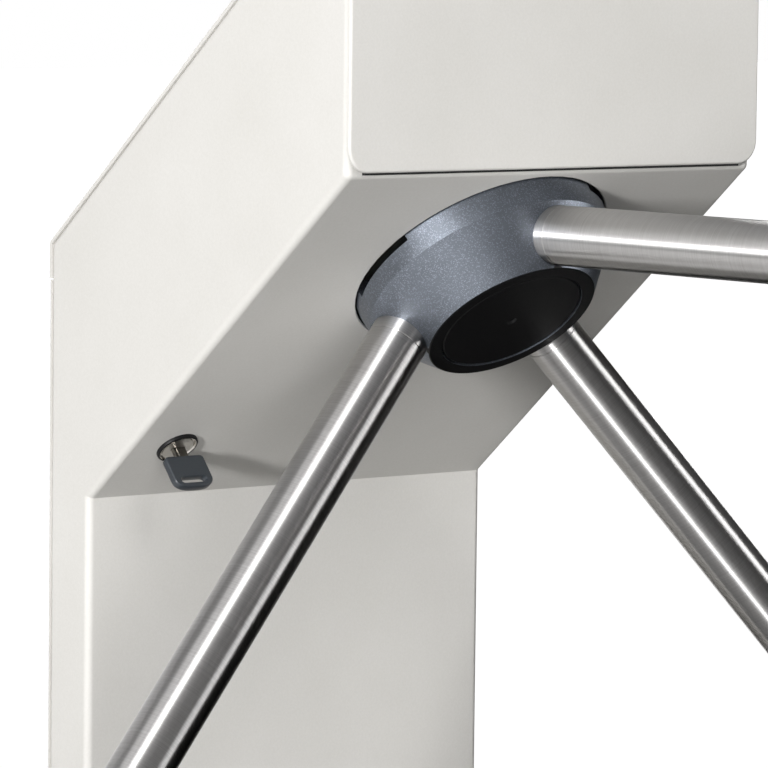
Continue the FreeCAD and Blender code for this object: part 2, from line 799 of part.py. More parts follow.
# Two butt hinges on the ridge: the middle knuckle is fixed, the outer two swing with the lid
hinge_x = f"({ridge_x} + ridge_trim / 4)"
hinge_z = f"({lid_top} + hinge_radius)"
slope_top = "(-head_depth - lid_sheet)"
hinge_along = f"(({hinge_x} + slab_offset) * cos{tilt} + ({hinge_z} - bend_height) * sin{tilt})"
knuckle_reach = "(hinge_radius + hinge_play)"
along_y = turn((1, 0, 0), -90)
fixed_leaves = []
lid_leaves = []
pins = []
for side, word in zip(sides, ("far", "near")):
    middle = f"({side} * hinge_station)"
    barrel = shift(hinge_x, middle, hinge_z) * along_y
    inner = "(hinge_middle / 2 - hinge_play / 2)"
    outer = "(hinge_middle / 2 + hinge_play / 2)"
    half = "(hinge_length / 2)"
    plate = block(f"fixed_plate_{word}", face_frame,
                  (f"{hinge_along} - hinge_leaf_width", f"-({middle}) - {half}", f"{slope_top} - hinge_leaf"),
                  (f"{hinge_along} - {knuckle_reach}", f"-({middle}) + {half}", slope_top))
    tongue = block(f"fixed_tongue_{word}", face_frame,
                   (f"{hinge_along} - {knuckle_reach}", f"-({middle}) - {inner}",
                    f"{slope_top} - hinge_leaf"),
                   (hinge_along, f"-({middle}) + {inner}", slope_top))
    knuckle = cylinder(f"fixed_knuckle_{word}", barrel, "hinge_radius", f"-{inner}", inner)
    leaf = fuse(f"fixed_leaf_body_{word}", [plate, tongue, knuckle])
    bore = cylinder(f"fixed_bore_{word}", barrel, "hinge_pin_radius", f"-{half}", half)
    fixed_leaves.append(cut(f"fixed_leaf_{word}", leaf, [bore]))
    parts = [block(f"lid_plate_{word}", world,
                   (f"{hinge_x} + {knuckle_reach}", f"{middle} - {half}", lid_top),
                   (f"{hinge_x} + hinge_leaf_width", f"{middle} + {half}", f"{lid_top} + hinge_leaf"))]
    for index, (low, high) in enumerate(((f"-{half}", f"-{outer}"), (outer, half))):
        parts.append(block(f"lid_tongue_{word}_{index}", world, (hinge_x, f"{middle} + {low}", lid_top),
                           (f"{hinge_x} + {knuckle_reach}", f"{middle} + {high}", f"{lid_top} + hinge_leaf")))
        parts.append(cylinder(f"lid_knuckle_{word}_{index}", barrel, "hinge_radius", low, high))
    leaf = fuse(f"lid_leaf_body_{word}", parts)
    bore = cylinder(f"lid_bore_{word}", barrel, "hinge_pin_radius + hinge_clearance", f"-{half}", half)
    lid_leaves.append(cut(f"lid_leaf_{word}", leaf, [bore]))
    pins.append(cylinder(f"hinge_pin_{word}", barrel, "hinge_pin_radius", f"-{half}", half))
keep("hinge_fixed_leaves", group("hinge_fixed_leaves", fixed_leaves))
keep("hinge_lid_leaves", group("hinge_lid_leaves", lid_leaves))
keep("hinge_pins", group("hinge_pins", pins))

# Side plates carry the mechanism out from the posts
post_back = f"({slab_middle} - post_side / 2)"
post_front = f"({slab_middle} + post_side / 2)"
cage_low = "(hub_station - plate_down)"
cage_high = "(hub_station + plate_up)"
rear_high = "(hub_station + rear_plate_up)"
rear_low = "(hub_station - rear_plate_down)"
side_outline = [
    (post_back, "bend_height - side_plate_foot"),
    (post_front, "bend_height - side_plate_foot"),
    (post_front, "bend_height + side_plate_shoulder"),
    on_face(cage_low, plate_back),
    on_face(cage_high, plate_back),
    on_face(cage_high, disc_front),
    on_face(rear_high, rear_plate_back),
    on_face(rear_low, rear_plate_back),
    (post_back, "bend_height + post_top"),
]
for side, word in zip(sides, ("far", "near")):
    plate = start("side_plate_" + word)
    middle = f"-({side} * ({plate_side} - side_plate_thickness / 2))"
    drawing = polygon(draw(plate, "XZ", middle), side_outline)
    pad(plate, drawing, "side_plate_thickness", middle=True)
    keep("side_plate_" + word, plate)
side_plates = [nodes["side_plate_far"], nodes["side_plate_near"]]

# Mechanism cage: front plate on the side plates, rear plate between them, four pillars, four standoffs
front = start("front_plate", hub_frame)
plan = draw(front, "XY", front_seat)
rectangle(plan, "-plate_down", f"-{plate_side}", "plate_up", plate_side)
circle(plan, "housing_radius + running_clearance")
for x, y in chassis_points:
    circle(plan, "chassis_bolt_radius", x, y)
pad(front, plan, "plate_thickness", back=True)
keep("front_plate", front)

rear = start("rear_plate", hub_frame)
plan = draw(rear, "XY", rear_plate_front)
rectangle(plan, "-rear_plate_down", f"-{cage_side}", "rear_plate_up", cage_side)
circle(plan, "housing_radius + running_clearance")
pad(rear, plan, "plate_thickness", back=True)
keep("rear_plate", rear)

pillars = [
    tube(f"pillar_{index}", hub_frame * shift(x, y), "0", "pillar_radius", rear_plate_front, plate_back)
    for index, (x, y) in enumerate(pillar_points)
]
keep("pillars", group("pillars", pillars))
standoffs = [
    tube(f"standoff_{index}", hub_frame * shift(x, y), "0", "standoff_radius", front_seat, "-sheet")
    for index, (x, y) in enumerate(standoff_points)
]
keep("face_standoffs", group("face_standoffs", standoffs))

chassis_frames = [hub_frame * shift(x, y, front_seat) for x, y in chassis_points]
chassis_bolts = [
    screw(f"chassis_bolt_{index}", frame, "chassis_bolt_head_radius", "chassis_bolt_head",
          "chassis_bolt_radius", "chassis_bolt_length")
    for index, frame in enumerate(chassis_frames)
]
keep("chassis_bolts", group("chassis_bolts", chassis_bolts))
for plate, word in zip(side_plates, ("far", "near")):
    drills = [
        cylinder(f"{word}_thread_{index}", frame, "chassis_bolt_radius", "-chassis_bolt_length", "cut_margin")
        for index, frame in enumerate(chassis_frames)
    ]
    plate.Label = "side_plate_blank_" + word
    keep("side_plate_" + word, cut("side_plate_drilled_" + word, plate, drills))

# Bearing housings, front and rear, each a flange with a spigot through its plate
housing_frames = {
    "front": hub_frame * shift("0", "0", front_seat),
    "rear": hub_frame * shift("0", "0", rear_plate_back) * turn((1, 0, 0), 180),
}
housing_profile = [
    ("bearing_outside / 2", "0"),
    ("housing_radius", "0"),
    ("housing_radius", "-plate_thickness"),
    ("housing_flange_radius", "-plate_thickness"),
    ("housing_flange_radius", "-plate_thickness - flange_thickness"),
    ("housing_lip_radius", "-plate_thickness - flange_thickness"),
    ("housing_lip_radius", "-bearing_width"),
    ("bearing_outside / 2", "-bearing_width"),
]
race_radius = "(shaft_radius / 2 + bearing_outside / 4)"
groove_radius = "(ball_radius + ball_play)"
outer_land = "(bearing_outside / 2 - ring_wall)"
inner_land = "(shaft_radius + ring_wall)"
groove_steps = 6


def race_ring(name, frame, seat, land, way):
    opening = math.degrees(math.acos(abs(value(f"{land} - {race_radius}")) / value(groove_radius)))
    groove = []
    for index in range(groove_steps + 1):
        angle = f"({opening * (2 * index / groove_steps - 1)} * 1deg)"
        radius = f"{race_radius} + {way} * {groove_radius} * cos{angle}"
        groove.append((radius, f"-bearing_width / 2 + {groove_radius} * sin{angle}"))
    low = [(land, "-bearing_width")]
    high = [(land, "0"), (seat, "0"), (seat, "-bearing_width")]
    return lathe(name, frame, low + groove + high)


housings = []
outer_rings = []
inner_rings = []
balls = []
housing_bolts = []
housing_bolt_count = 4
for word, frame in housing_frames.items():
    drills = []
    for index in range(housing_bolt_count):
        around = turn((0, 0, 1), 360 / housing_bolt_count * (index + 0.5))
        place = frame * around * shift("housing_bolt_circle", "0", "-plate_thickness - flange_thickness")
        place = place * turn((1, 0, 0), 180)
        housing_bolts.append(screw(f"{word}_housing_bolt_{index}", place, "housing_bolt_head_radius",
                                   "housing_bolt_head", "housing_bolt_radius", "flange_thickness"))
        drills.append(cylinder(f"{word}_housing_drill_{index}", place, "housing_bolt_radius",
                               "-flange_thickness", "cut_margin"))
    blank = lathe(word + "_housing_blank", frame, housing_profile)
    housings.append(cut(word + "_bearing_housing", blank, drills))
    outer_rings.append(race_ring(word + "_outer_ring", frame, "bearing_outside / 2", outer_land, 1))
    inner_rings.append(race_ring(word + "_inner_ring", frame, "shaft_radius", inner_land, -1))
    for index in range(int(value("ball_count"))):
        around = turn((0, 0, 1), 360 / value("ball_count") * index)
        ball = doc.addObject("Part::Sphere", f"{word}_ball_{index}")
        bind(ball, Radius="ball_radius")
        ball.Placement = frame * around * shift(race_radius, "0", "-bearing_width / 2")
        balls.append(ball)
keep("bearing_housings", group("bearing_housings", housings))
keep("housing_bolts", group("housing_bolts", housing_bolts))
keep("bearing_outer_rings", group("bearing_outer_rings", outer_rings))
keep("bearing_inner_rings", group("bearing_inner_rings", inner_rings))
keep("bearing_balls", group("bearing_balls", balls))

# Shaft with its shoulder behind the hub, spacers, disc stack and rear nut
shaft_profile = [
    ("0", shaft_end),
    ("thread_radius", shaft_end),
    ("thread_radius", rear_plate_back),
    ("shaft_radius", rear_plate_back),
    ("shaft_radius", front_seat),
    ("shoulder_radius", front_seat),
    ("shoulder_radius", "-boss_depth"),
    ("shaft_radius", "-boss_depth"),
    ("shaft_radius", hub_seat),
    ("hub_bolt_radius", hub_seat),
    ("hub_bolt_radius", f"{hub_seat} - hub_bolt_length"),
    ("0", f"{hub_seat} - hub_bolt_length"),
]
keep("shaft", lathe("shaft", hub_frame, shaft_profile))

spacer_outside = "(shaft_radius + spacer_wall)"
spacer_spans = [
    (gear_front, bearing_back),
    (disc_front, gear_back),
    (encoder_front, disc_back),
    (rear_bearing_front, encoder_back),
]
spacers = [
    tube(f"spacer_{index}", hub_frame, "shaft_radius", spacer_outside, low, high)
    for index, (low, high) in enumerate(spacer_spans)
]
keep("shaft_spacers", group("shaft_spacers", spacers))


def hexagon(drawing, flats):
    corner = f"({flats} / 2 / cos(30deg))"
    points = [(f"{corner} * cos({60 * index}deg)", f"{corner} * sin({60 * index}deg)") for index in range(6)]
    return polygon(drawing, points)


nut = start("shaft_nut", hub_frame)
plan = hexagon(draw(nut, "XY", rear_plate_back), "nut_flats")
circle(plan, "thread_radius")
pad(nut, plan, "nut_height", back=True)
keep("shaft_nut", nut)


# Gear on the shaft and the damper's pinion below it

def spur_gear(name, frame, teeth, bore):
    wire = fcgear.FCWireBuilder()
    involute.CreateExternalGear(wire, value("gear_module"), int(value(teeth)), value("pressure_angle"), False)
    edges = [item.toShape() for item in wire.wire]
    blank = Part.Face(Part.Wire(edges)).extrude(Vector(0, 0, value("gear_width")))
    if bore:
        blank = blank.cut(Part.makeCylinder(value(bore), value("gear_width")))
    gear = doc.addObject("Part::Feature", name)
    gear.Shape = blank
    gear.Placement = frame * shift("0", "0", gear_back)
    return gear


mesh_distance = "(gear_module * (gear_teeth + pinion_teeth) / 2 + mesh_backlash)"
pinion_frame = hub_frame * shift(f"-{mesh_distance}")
half_tooth = turn((0, 0, 1), 180 / value("pinion_teeth"))
keep("drive_gear", spur_gear("drive_gear", hub_frame, "gear_teeth", "shaft_radius"))
damper_front = plate_back
damper_back = f"({gear_front} + damper_gap)"
pinion = spur_gear("pinion_teeth_ring", pinion_frame * half_tooth, "pinion_teeth", "")
stub = cylinder("pinion_stub", pinion_frame, "damper_shaft_radius", gear_front,
                f"{damper_back} + damper_engagement")
keep("damper_pinion", fuse("damper_pinion", [pinion, stub]))
damper_bore = "(damper_shaft_radius + running_clearance)"
damper_floor = f"({damper_back} + damper_engagement + damper_gap / 4)"
damper_profile = [
    (damper_bore, damper_back),
    ("damper_radius", damper_back),
    ("damper_radius", damper_front),
    ("0", damper_front),
    ("0", damper_floor),
    (damper_bore, damper_floor),
]
keep("damper_body", lathe("damper_body", pinion_frame, damper_profile))

# Locking disc: one notch in line with each lock bolt at every sixth of a turn
disc = start("locking_disc", hub_frame)
plan = circle(draw(disc, "XY", disc_back), "disc_radius")
circle(plan, "shaft_radius")
pad(disc, plan, "disc_thickness")
notch_plan = draw(disc, "XY", disc_back)
notch_half = "(notch_width / 2)"
rectangle(notch_plan, f"-{notch_half}", "disc_radius - notch_depth", notch_half, "disc_radius + cut_margin")
doc.recompute()
notch = pocket(disc, notch_plan, "disc_thickness", back=True)
repeat(disc, notch, plan, "notch_count")
keep("locking_disc", disc)

# Lock bolts and the solenoids that drive them, one on each side of the disc
bolt_tip = "(disc_radius + lock_bolt_gap)"
bar_end = f"({bolt_tip} + lock_bolt_bar)"
solenoid_front = f"({bar_end} + solenoid_gap)"
disc_middle = f"({disc_back} + disc_thickness / 2)"
plunger_end = f"({bar_end} + plunger_length)"
solenoid_bore = "(plunger_radius + plunger_clearance)"
for side, word in zip(sides, ("near", "far")):
    frame = hub_frame * turn((0, 0, 1), 90 * side) * shift("0", "0", disc_middle)
    along = frame * turn((0, 1, 0), 90)
    half = "(lock_bolt_width / 2)"
    thick = "(disc_thickness / 2)"
    bar = block(f"bolt_bar_{word}", frame, (bolt_tip, f"-{half}", f"-{thick}"), (bar_end, half, thick))
    rod = cylinder(f"bolt_rod_{word}", along, "plunger_radius", bar_end, plunger_end)
    keep("lock_bolt_" + word, fuse("lock_bolt_" + word, [bar, rod]))
    wide = "(solenoid_width / 2)"
    tall = "(solenoid_height / 2)"
    shell_low = (solenoid_front, f"-{wide}", f"-{tall}")
    shell = block(f"solenoid_block_{word}", frame, shell_low, (cage_side, wide, tall))
    bore = cylinder(f"solenoid_bore_{word}", along, solenoid_bore, bar_end, f"{plunger_end} + solenoid_gap")
    keep("solenoid_" + word, cut("solenoid_" + word, shell, [bore]))

# Encoder disc and the forked sensor that stands on the rear plate
coder = start("encoder_disc", hub_frame)
plan = circle(draw(coder, "XY", encoder_back), "encoder_radius")
circle(plan, "shaft_radius")
pad(coder, plan, "encoder_thickness")
slot_plan = draw(coder, "XY", encoder_back)
slot_end = "(encoder_radius - encoder_rim)"
half_slot = "(encoder_slot_width / 2)"
rectangle(slot_plan, f"{slot_end} - encoder_slot_length", f"-{half_slot}", slot_end, half_slot)
doc.recompute()
slot = pocket(coder, slot_plan, "encoder_thickness", back=True)
repeat(coder, slot, plan, "encoder_slots")
keep("encoder_disc", coder)

sensor_inner = "(encoder_radius - sensor_reach)"
sensor_outer = f"({sensor_inner} + sensor_depth)"
sensor_half = "(sensor_width / 2)"
sensor_top = f"({encoder_front} + sensor_gap + sensor_wall)"
fork = block("sensor_block", hub_frame, (sensor_inner, f"-{sensor_half}", rear_plate_front),
             (sensor_outer, sensor_half, sensor_top))
gap = block("sensor_slot", hub_frame,
            (f"{sensor_inner} - cut_margin", f"-{sensor_half} - cut_margin", f"{encoder_back} - sensor_gap"),
            ("encoder_radius + sensor_gap", f"{sensor_half} + cut_margin", f"{encoder_front} + sensor_gap"))
keep("encoder_sensor", cut("encoder_sensor", fork, [gap]))

# Hub: a cone with a notched skirt, three arm sockets and a recess under its cap
recess_floor = "(hub_front - cap_recess)"
hub_profile = [
    ("shaft_radius", "-boss_depth"),
    ("boss_radius", "-boss_depth"),
    ("boss_radius", "-hub_skirt_back"),
    ("hub_skirt_radius", "-hub_skirt_back"),
    ("hub_skirt_radius", "0"),
    ("hub_band_radius", "hub_band"),
    ("hub_front_radius", "hub_front"),
    ("cap_recess_radius", "hub_front"),
    ("cap_recess_radius", recess_floor),
    ("bolt_pocket_radius", recess_floor),
    ("bolt_pocket_radius", hub_seat),
    ("shaft_radius", hub_seat),
]
cone = lathe("hub_cone", hub_frame, hub_profile)
front_ring = 2 * math.pi * value("hub_front_radius")
round_edges(cone, "hub_edge_radius", lambda edge: abs(edge.Length - front_ring) < 1e-3)

# Arms leave the cone square to it; the first lies level, the others hang a third of a turn away
arm_count = 3
arm_lean = 90 - value("slope_angle")
lean = "(90deg - slope_angle * 1deg)"
cone_fall = "((hub_band_radius - hub_front_radius) / (hub_front - hub_band))"
arm_exit = (f"((hub_band_radius + (hub_band + arm_apex) * {cone_fall})"
            f" / (sin{lean} + {cone_fall} * cos{lean}))")
apex_frame = hub_frame * shift("0", "0", "-arm_apex")
arm_frames = [
    apex_frame * turn((0, 0, 1), 360 / arm_count * index) * turn((0, 1, 0), arm_lean)
    for index in range(arm_count)
]
socket_floor = f"({arm_exit} - socket_depth)"
tube_start = f"({arm_exit} + collar_length)"
tube_end = f"({tube_start} + arm_length)"
tube_bore = "(arm_radius - arm_wall)"
spigot_radius = f"({tube_bore} - spigot_clearance)"
hub_cuts = []
spigots = []
end_caps = []
spigot_screws = []
for index, frame in enumerate(arm_frames):
    around = turn((0, 0, 1), 360 / arm_count * index)
    hub_cuts.append(cylinder(f"arm_socket_{index}", frame, "arm_radius + socket_clearance",
                             socket_floor, f"{arm_exit} + hub_front_radius"))
    spigot = lathe(f"arm_spigot_{index}", frame, [
        ("0", socket_floor),
        ("arm_radius", socket_floor),
        ("arm_radius", f"{tube_start} - collar_groove"),
        ("arm_radius - collar_groove", tube_start),
        (spigot_radius, tube_start),
        (spigot_radius, f"{tube_start} + spigot_length"),
        ("0", f"{tube_start} + spigot_length"),
    ])
    screw_seat = f"{recess_floor} - spigot_screw_head"
    screw_frame = hub_frame * around * shift("spigot_screw_circle", "0", screw_seat)
    driver = screw(f"spigot_screw_{index}", screw_frame, "spigot_screw_head_radius", "spigot_screw_head",
                   "spigot_screw_radius", "spigot_screw_length")
    spigot_screws.append(driver)
    hub_cuts.append(cylinder(f"screw_head_hole_{index}", screw_frame, "spigot_screw_head_radius",
                             "0", "spigot_screw_head + cut_margin"))
    hub_cuts.append(cylinder(f"screw_hole_{index}", screw_frame, "spigot_screw_radius",
                             "-spigot_screw_length", "spigot_screw_head"))
    thread = cylinder(f"spigot_thread_{index}", screw_frame, "spigot_screw_radius",
                      "-spigot_screw_length", "spigot_screw_head")
    cap_room = cylinder(f"cap_room_{index}", hub_frame, "cap_recess_radius",
                        recess_floor, "hub_front + cut_margin")
    spigots.append(cut(f"arm_spigot_threaded_{index}", spigot, [thread, cap_room]))
    arm = lathe(f"arm_tube_{index + 1}", frame, [
        (tube_bore, tube_start),
        ("arm_radius - collar_groove", tube_start),
        ("arm_radius", f"{tube_start} + collar_groove"),
        ("arm_radius", tube_end),
        (tube_bore, tube_end),
    ])
    keep(f"arm_tube_{index + 1}", arm)
    cap = lathe(f"arm_end_cap_{index}", frame, [
        ("0", f"{tube_end} - end_cap_plug"),
        (spigot_radius, f"{tube_end} - end_cap_plug"),
        (spigot_radius, tube_end),
        ("arm_radius", tube_end),
        ("arm_radius", f"{tube_end} + end_cap_dome"),
        ("0", f"{tube_end} + end_cap_dome"),
    ])
    cap_rim = 2 * math.pi * value("arm_radius")
    cap_face = value(f"{tube_end} + end_cap_dome")
    round_edges(cap, "end_cap_edge", lambda edge: abs(edge.Length - cap_rim) < 1e-3
                and abs(edge.CenterOfMass.z - cap_face) < 1e-3)
    end_caps.append(cap)
for word in ("near", "under", "far"):
    notch_middle = hub_frame * turn((0, 0, 1), value(f"{word}_notch_angle"))
    hub_cuts.append(block(f"rim_notch_{word}", notch_middle,
                          ("boss_radius + cut_margin", "-rim_notch_length / 2", "-hub_skirt_back"),
                          ("hub_skirt_radius + cut_margin", "rim_notch_length / 2", "rim_notch_height")))
keep("arm_spigots", group("arm_spigots", spigots))
keep("arm_end_caps", group("arm_end_caps", end_caps))
keep("spigot_screws", group("spigot_screws", spigot_screws))
keep("hub", cut("hub", cone, hub_cuts))

cap_top = "(hub_front - cap_sink)"
cap_profile = [
    ("0", recess_floor),
    ("cap_radius", recess_floor),
    ("cap_radius", f"{cap_top} - cap_edge"),
    ("cap_radius - cap_edge", cap_top),
    ("cap_dimple_radius", cap_top),
    ("cap_dimple_floor", f"{cap_top} - cap_dimple"),
    ("0", f"{cap_top} - cap_dimple"),
]
keep("hub_cap", lathe("hub_cap", hub_frame, cap_profile))
keep("hub_bolt", screw("hub_bolt", hub_frame * shift("0", "0", hub_seat), "hub_bolt_head_radius",
                       "hub_bolt_head", "hub_bolt_radius", "hub_bolt_length"))

# Key lock: barrel through the inclined face, nut and cam inside, key in the plug
barrel_profile = [
    ("lock_plug_radius + running_clearance", "-lock_barrel_length"),
    ("lock_barrel_radius", "-lock_barrel_length"),
    ("lock_barrel_radius", "0"),
    ("lock_ring_radius", "0"),
    ("lock_ring_radius", "lock_ring_height / 2"),
    ("lock_ring_radius - lock_ring_bevel", "lock_ring_height"),
    ("lock_recess_radius + lock_ring_bevel / 2", "lock_ring_height"),
    ("lock_recess_radius", "lock_ring_height - lock_ring_bevel / 2"),
    ("lock_recess_radius", "lock_recess_floor"),
    ("lock_plug_radius + running_clearance", "lock_recess_floor"),
]
keep("lock_barrel", lathe("lock_barrel", lock_frame, barrel_profile))
washer_top = "(lock_recess_floor + lock_washer_height)"
washer_bore = "(lock_plug_radius + key_play)"
washer_edge = "(lock_recess_radius - key_play)"
washer = tube("lock_washer", lock_frame, washer_bore, washer_edge, "lock_recess_floor", washer_top)
keep("lock_washer", washer)
nut = start("lock_nut", lock_frame)
plan = hexagon(draw(nut, "XY", "-sheet"), "lock_nut_flats")
circle(plan, "lock_barrel_radius")
pad(nut, plan, "lock_nut_height", back=True)
keep("lock_nut", nut)

plug_face = "(lock_ring_height - lock_plug_sink)"
plug_end = "(-lock_barrel_length - lock_plug_tail)"
plug = start("lock_plug", lock_frame)
pad(plug, circle(draw(plug, "XY", plug_end), "lock_plug_radius"), f"{plug_face} - {plug_end}")
head_low = f"({washer_top} + key_play)"
pad(plug, circle(draw(plug, "XY", head_low), "lock_plug_head"), f"{plug_face} - {head_low}")
way = draw(plug, "XY", plug_face)
way_thick = "(key_thickness / 2 + key_play)"
way_wide = "(key_width / 2 + key_play)"
rectangle(way, f"-{way_thick}", f"-{way_wide}", way_thick, way_wide)
doc.recompute()
pocket(plug, way, f"{plug_face} + key_depth + key_play")
keep("lock_plug", plug)

cam_half = "(lock_cam_width / 2)"
cam_low = f"({plug_end} - lock_cam_thickness)"
cam = start("lock_cam", lock_frame)
plan = draw(cam, "XY", plug_end)
rectangle(plan, f"-{cam_half}", f"-{cam_half}", "lock_cam_length", cam_half)
pad(cam, plan, "lock_cam_thickness", back=True)
round_edges(cam, "lock_cam_width / 4", lambda edge: edge.BoundBox.ZLength > 1e-3)
keep("lock_cam", cam)

bow_start = f"({plug_face} + key_shank)"
bow_end = f"({bow_start} + bow_length)"
key_half = "(key_width / 2)"
blade = start("key_blade", lock_frame)
plan = draw(blade, "YZ")
rectangle(plan, f"-{key_half}", "-key_depth", key_half, f"{bow_start} + bow_socket")
pad(blade, plan, "key_thickness", middle=True)
round_edges(blade, "key_width / 4", lambda edge: edge.BoundBox.XLength > 1e-3
            and edge.CenterOfMass.z < 0)
keep("key_blade", blade)

grip = start("key_grip", lock_frame)
plan = draw(grip, "YZ")
bow_waist = f"({bow_start} + bow_straight)"
polygon(plan, [
    ("-bow_width / 2", bow_start),
    ("bow_width / 2", bow_start),
    ("bow_width / 2", bow_waist),
    ("bow_end_width / 2", bow_end),
    ("-bow_end_width / 2", bow_end),
    ("-bow_width / 2", bow_waist),
])
slot_half = "(bow_slot_length / 2)"
slot_high = f"({bow_end} - bow_slot_inset)"
slot_low = f"({slot_high} - bow_slot_width)"
rectangle(plan, f"-{slot_half}", slot_low, slot_half, slot_high)
pad(grip, plan, "bow_thickness", middle=True)


def bow_corner(high, wide):
    def test(edge):
        middle = edge.CenterOfMass
        upright = edge.BoundBox.YLength + edge.BoundBox.ZLength < 1e-6
        return upright and abs(middle.z - value(high)) < 1e-3 and abs(abs(middle.y) - value(wide)) < 1e-3
    return test


def bow_rim(edge):
    face_edge = edge.BoundBox.XLength < 1e-6
    middle = edge.CenterOfMass
    slot_wide = abs(middle.y) < value(slot_half) + 1e-3
    slot_tall = value(slot_low) - 1e-3 < middle.z < value(slot_high) + 1e-3
    return face_edge and not (slot_wide and slot_tall)


round_edges(grip, "bow_inner_corner", bow_corner(bow_start, "bow_width / 2"))
round_edges(grip, "bow_side_corner", bow_corner(bow_waist, "bow_width / 2"))
round_edges(grip, "bow_end_corner", bow_corner(bow_end, "bow_end_width / 2"))
for level in (slot_low, slot_high):
    round_edges(grip, "bow_slot_corner", bow_corner(level, slot_half))
round_edges(grip, "bow_edge", bow_rim)
socket_low = ("-key_thickness / 2", f"-{key_half}", f"{bow_start} - cut_margin")
socket_high = ("key_thickness / 2", key_half, f"{bow_start} + bow_socket")
key_hole = block("bow_socket_cut", lock_frame, socket_low, socket_high)
keep("key_bow", cut("key_bow", grip, [key_hole]))

# Key switch: a bracket on the face sheet holds it where the turned cam comes to rest
button_tip = f"(-{cam_half} - key_play)"
switch_face = f"({button_tip} - switch_button_proud)"
switch_back = f"({switch_face} - switch_width)"
switch_mid = f"({plug_end} - lock_cam_thickness / 2)"
switch_near = "(-lock_cam_length + lock_cam_width / 4)"
switch_far = f"({switch_near} - switch_length + lock_cam_width)"
switch_low = f"({switch_mid} - switch_height / 2)"
switch_high = f"({switch_mid} + switch_height / 2)"
case_block = block("switch_case", lock_frame, (switch_back, switch_far, switch_low),
                   (switch_face, f"{switch_far} + switch_length", switch_high))
button_y = "(-lock_cam_length + lock_cam_width / 2)"
button_frame = lock_frame * shift("0", button_y, switch_mid) * turn((0, 1, 0), 90)
button_bore = cylinder("switch_bore", button_frame, "switch_button_radius + running_clearance",
                       f"{switch_face} - switch_button_depth", f"{switch_face} + cut_margin")
switch_body = cut("switch_body", case_block, [button_bore])
foot_low = (f"{switch_back} - switch_bracket", switch_far, switch_low)
foot_high = (switch_back, f"{switch_far} + switch_length", "-sheet")
switch_foot = block("switch_bracket_plate", lock_frame, foot_low, foot_high)
keep("release_switch", group("release_switch", [switch_body, switch_foot]))
keep("switch_plunger", cylinder("switch_plunger", button_frame, "switch_button_radius",
                                f"{switch_face} - switch_button_depth / 2", button_tip))

# Electronics between the posts, behind the lower rear cover
board_x = f"({slab_middle} + board_gap)"
board_top = "(bend_height - rail_upper)"
board_low = f"({board_top} - board_height)"
board = block("board_sheet", world, (board_x, "-board_length / 2", board_low),
              (f"{board_x} + board_thickness", "board_length / 2", board_top))
part_face = f"({board_x} + board_thickness)"
connector_count = 5
components = [board]
for index in range(connector_count):
    middle = f"(board_length * {(index + 0.5) / connector_count - 0.5})"
    connector_low = (part_face, f"{middle} - board_edge", f"{board_low} + board_gap")
    connector_top = f"{board_low} + board_gap + board_edge"
    connector_high = (f"{part_face} + board_gap", f"{middle} + board_edge", connector_top)
    components.append(block(f"board_connector_{index}", world, connector_low, connector_high))
chip_middle = f"(({board_low} + {board_top}) / 2)"
components.append(block("board_processor", world, (part_face, "-board_edge", f"{chip_middle} - board_edge"),
                        (f"{part_face} + board_thickness", "board_edge", f"{chip_middle} + board_edge")))
keep("control_board", group("control_board", components))
rail_middles = [
    "(bend_height - rail_upper - rail_height / 2)",
    "(bend_height - rail_lower - rail_height / 2)",
]
along_x = turn((0, 1, 0), 90)
board_posts = []
for height in rail_middles:
    for side in sides:
        place = shift("0", f"{side} * (board_length / 2 - board_edge)", height) * along_x
        post_name = f"board_post_{len(board_posts)}"
        board_posts.append(cylinder(post_name, place, "board_post_radius", slab_middle, board_x))
keep("board_standoffs", group("board_standoffs", board_posts))
supply_top = "(bend_height - rail_lower - rail_height - supply_drop)"
supply = start("power_supply", shift("0", "0", supply_top))
plan = draw(supply, "XY")
supply_face = f"({face_x} - sheet)"
rectangle(plan, f"{supply_face} - supply_depth", "-supply_length / 2", supply_face, "supply_length / 2")
pad(supply, plan, "supply_height", back=True)
round_edges(supply, "sheet", lambda edge: edge.BoundBox.ZLength > 1e-3)
keep("power_supply", supply)

# Test every object, then write one file per piece
doc.recompute()
for item in doc.Objects:
    if "Invalid" in item.State or "Error" in item.State:
        raise RuntimeError(f"{item.Label} failed: {item.State}")
for name, piece in nodes.items():
    if piece.Shape.isNull() or not piece.Shape.isValid():
        raise RuntimeError(f"{name} has no valid shape")
os.makedirs("parts", exist_ok=True)
for name, piece in nodes.items():
    piece.Shape.exportStep(f"parts/{name}.step")
print(len(nodes), "pieces written")
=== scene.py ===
import json
import math

import bmesh
import bpy
from mathutils import Matrix, Vector


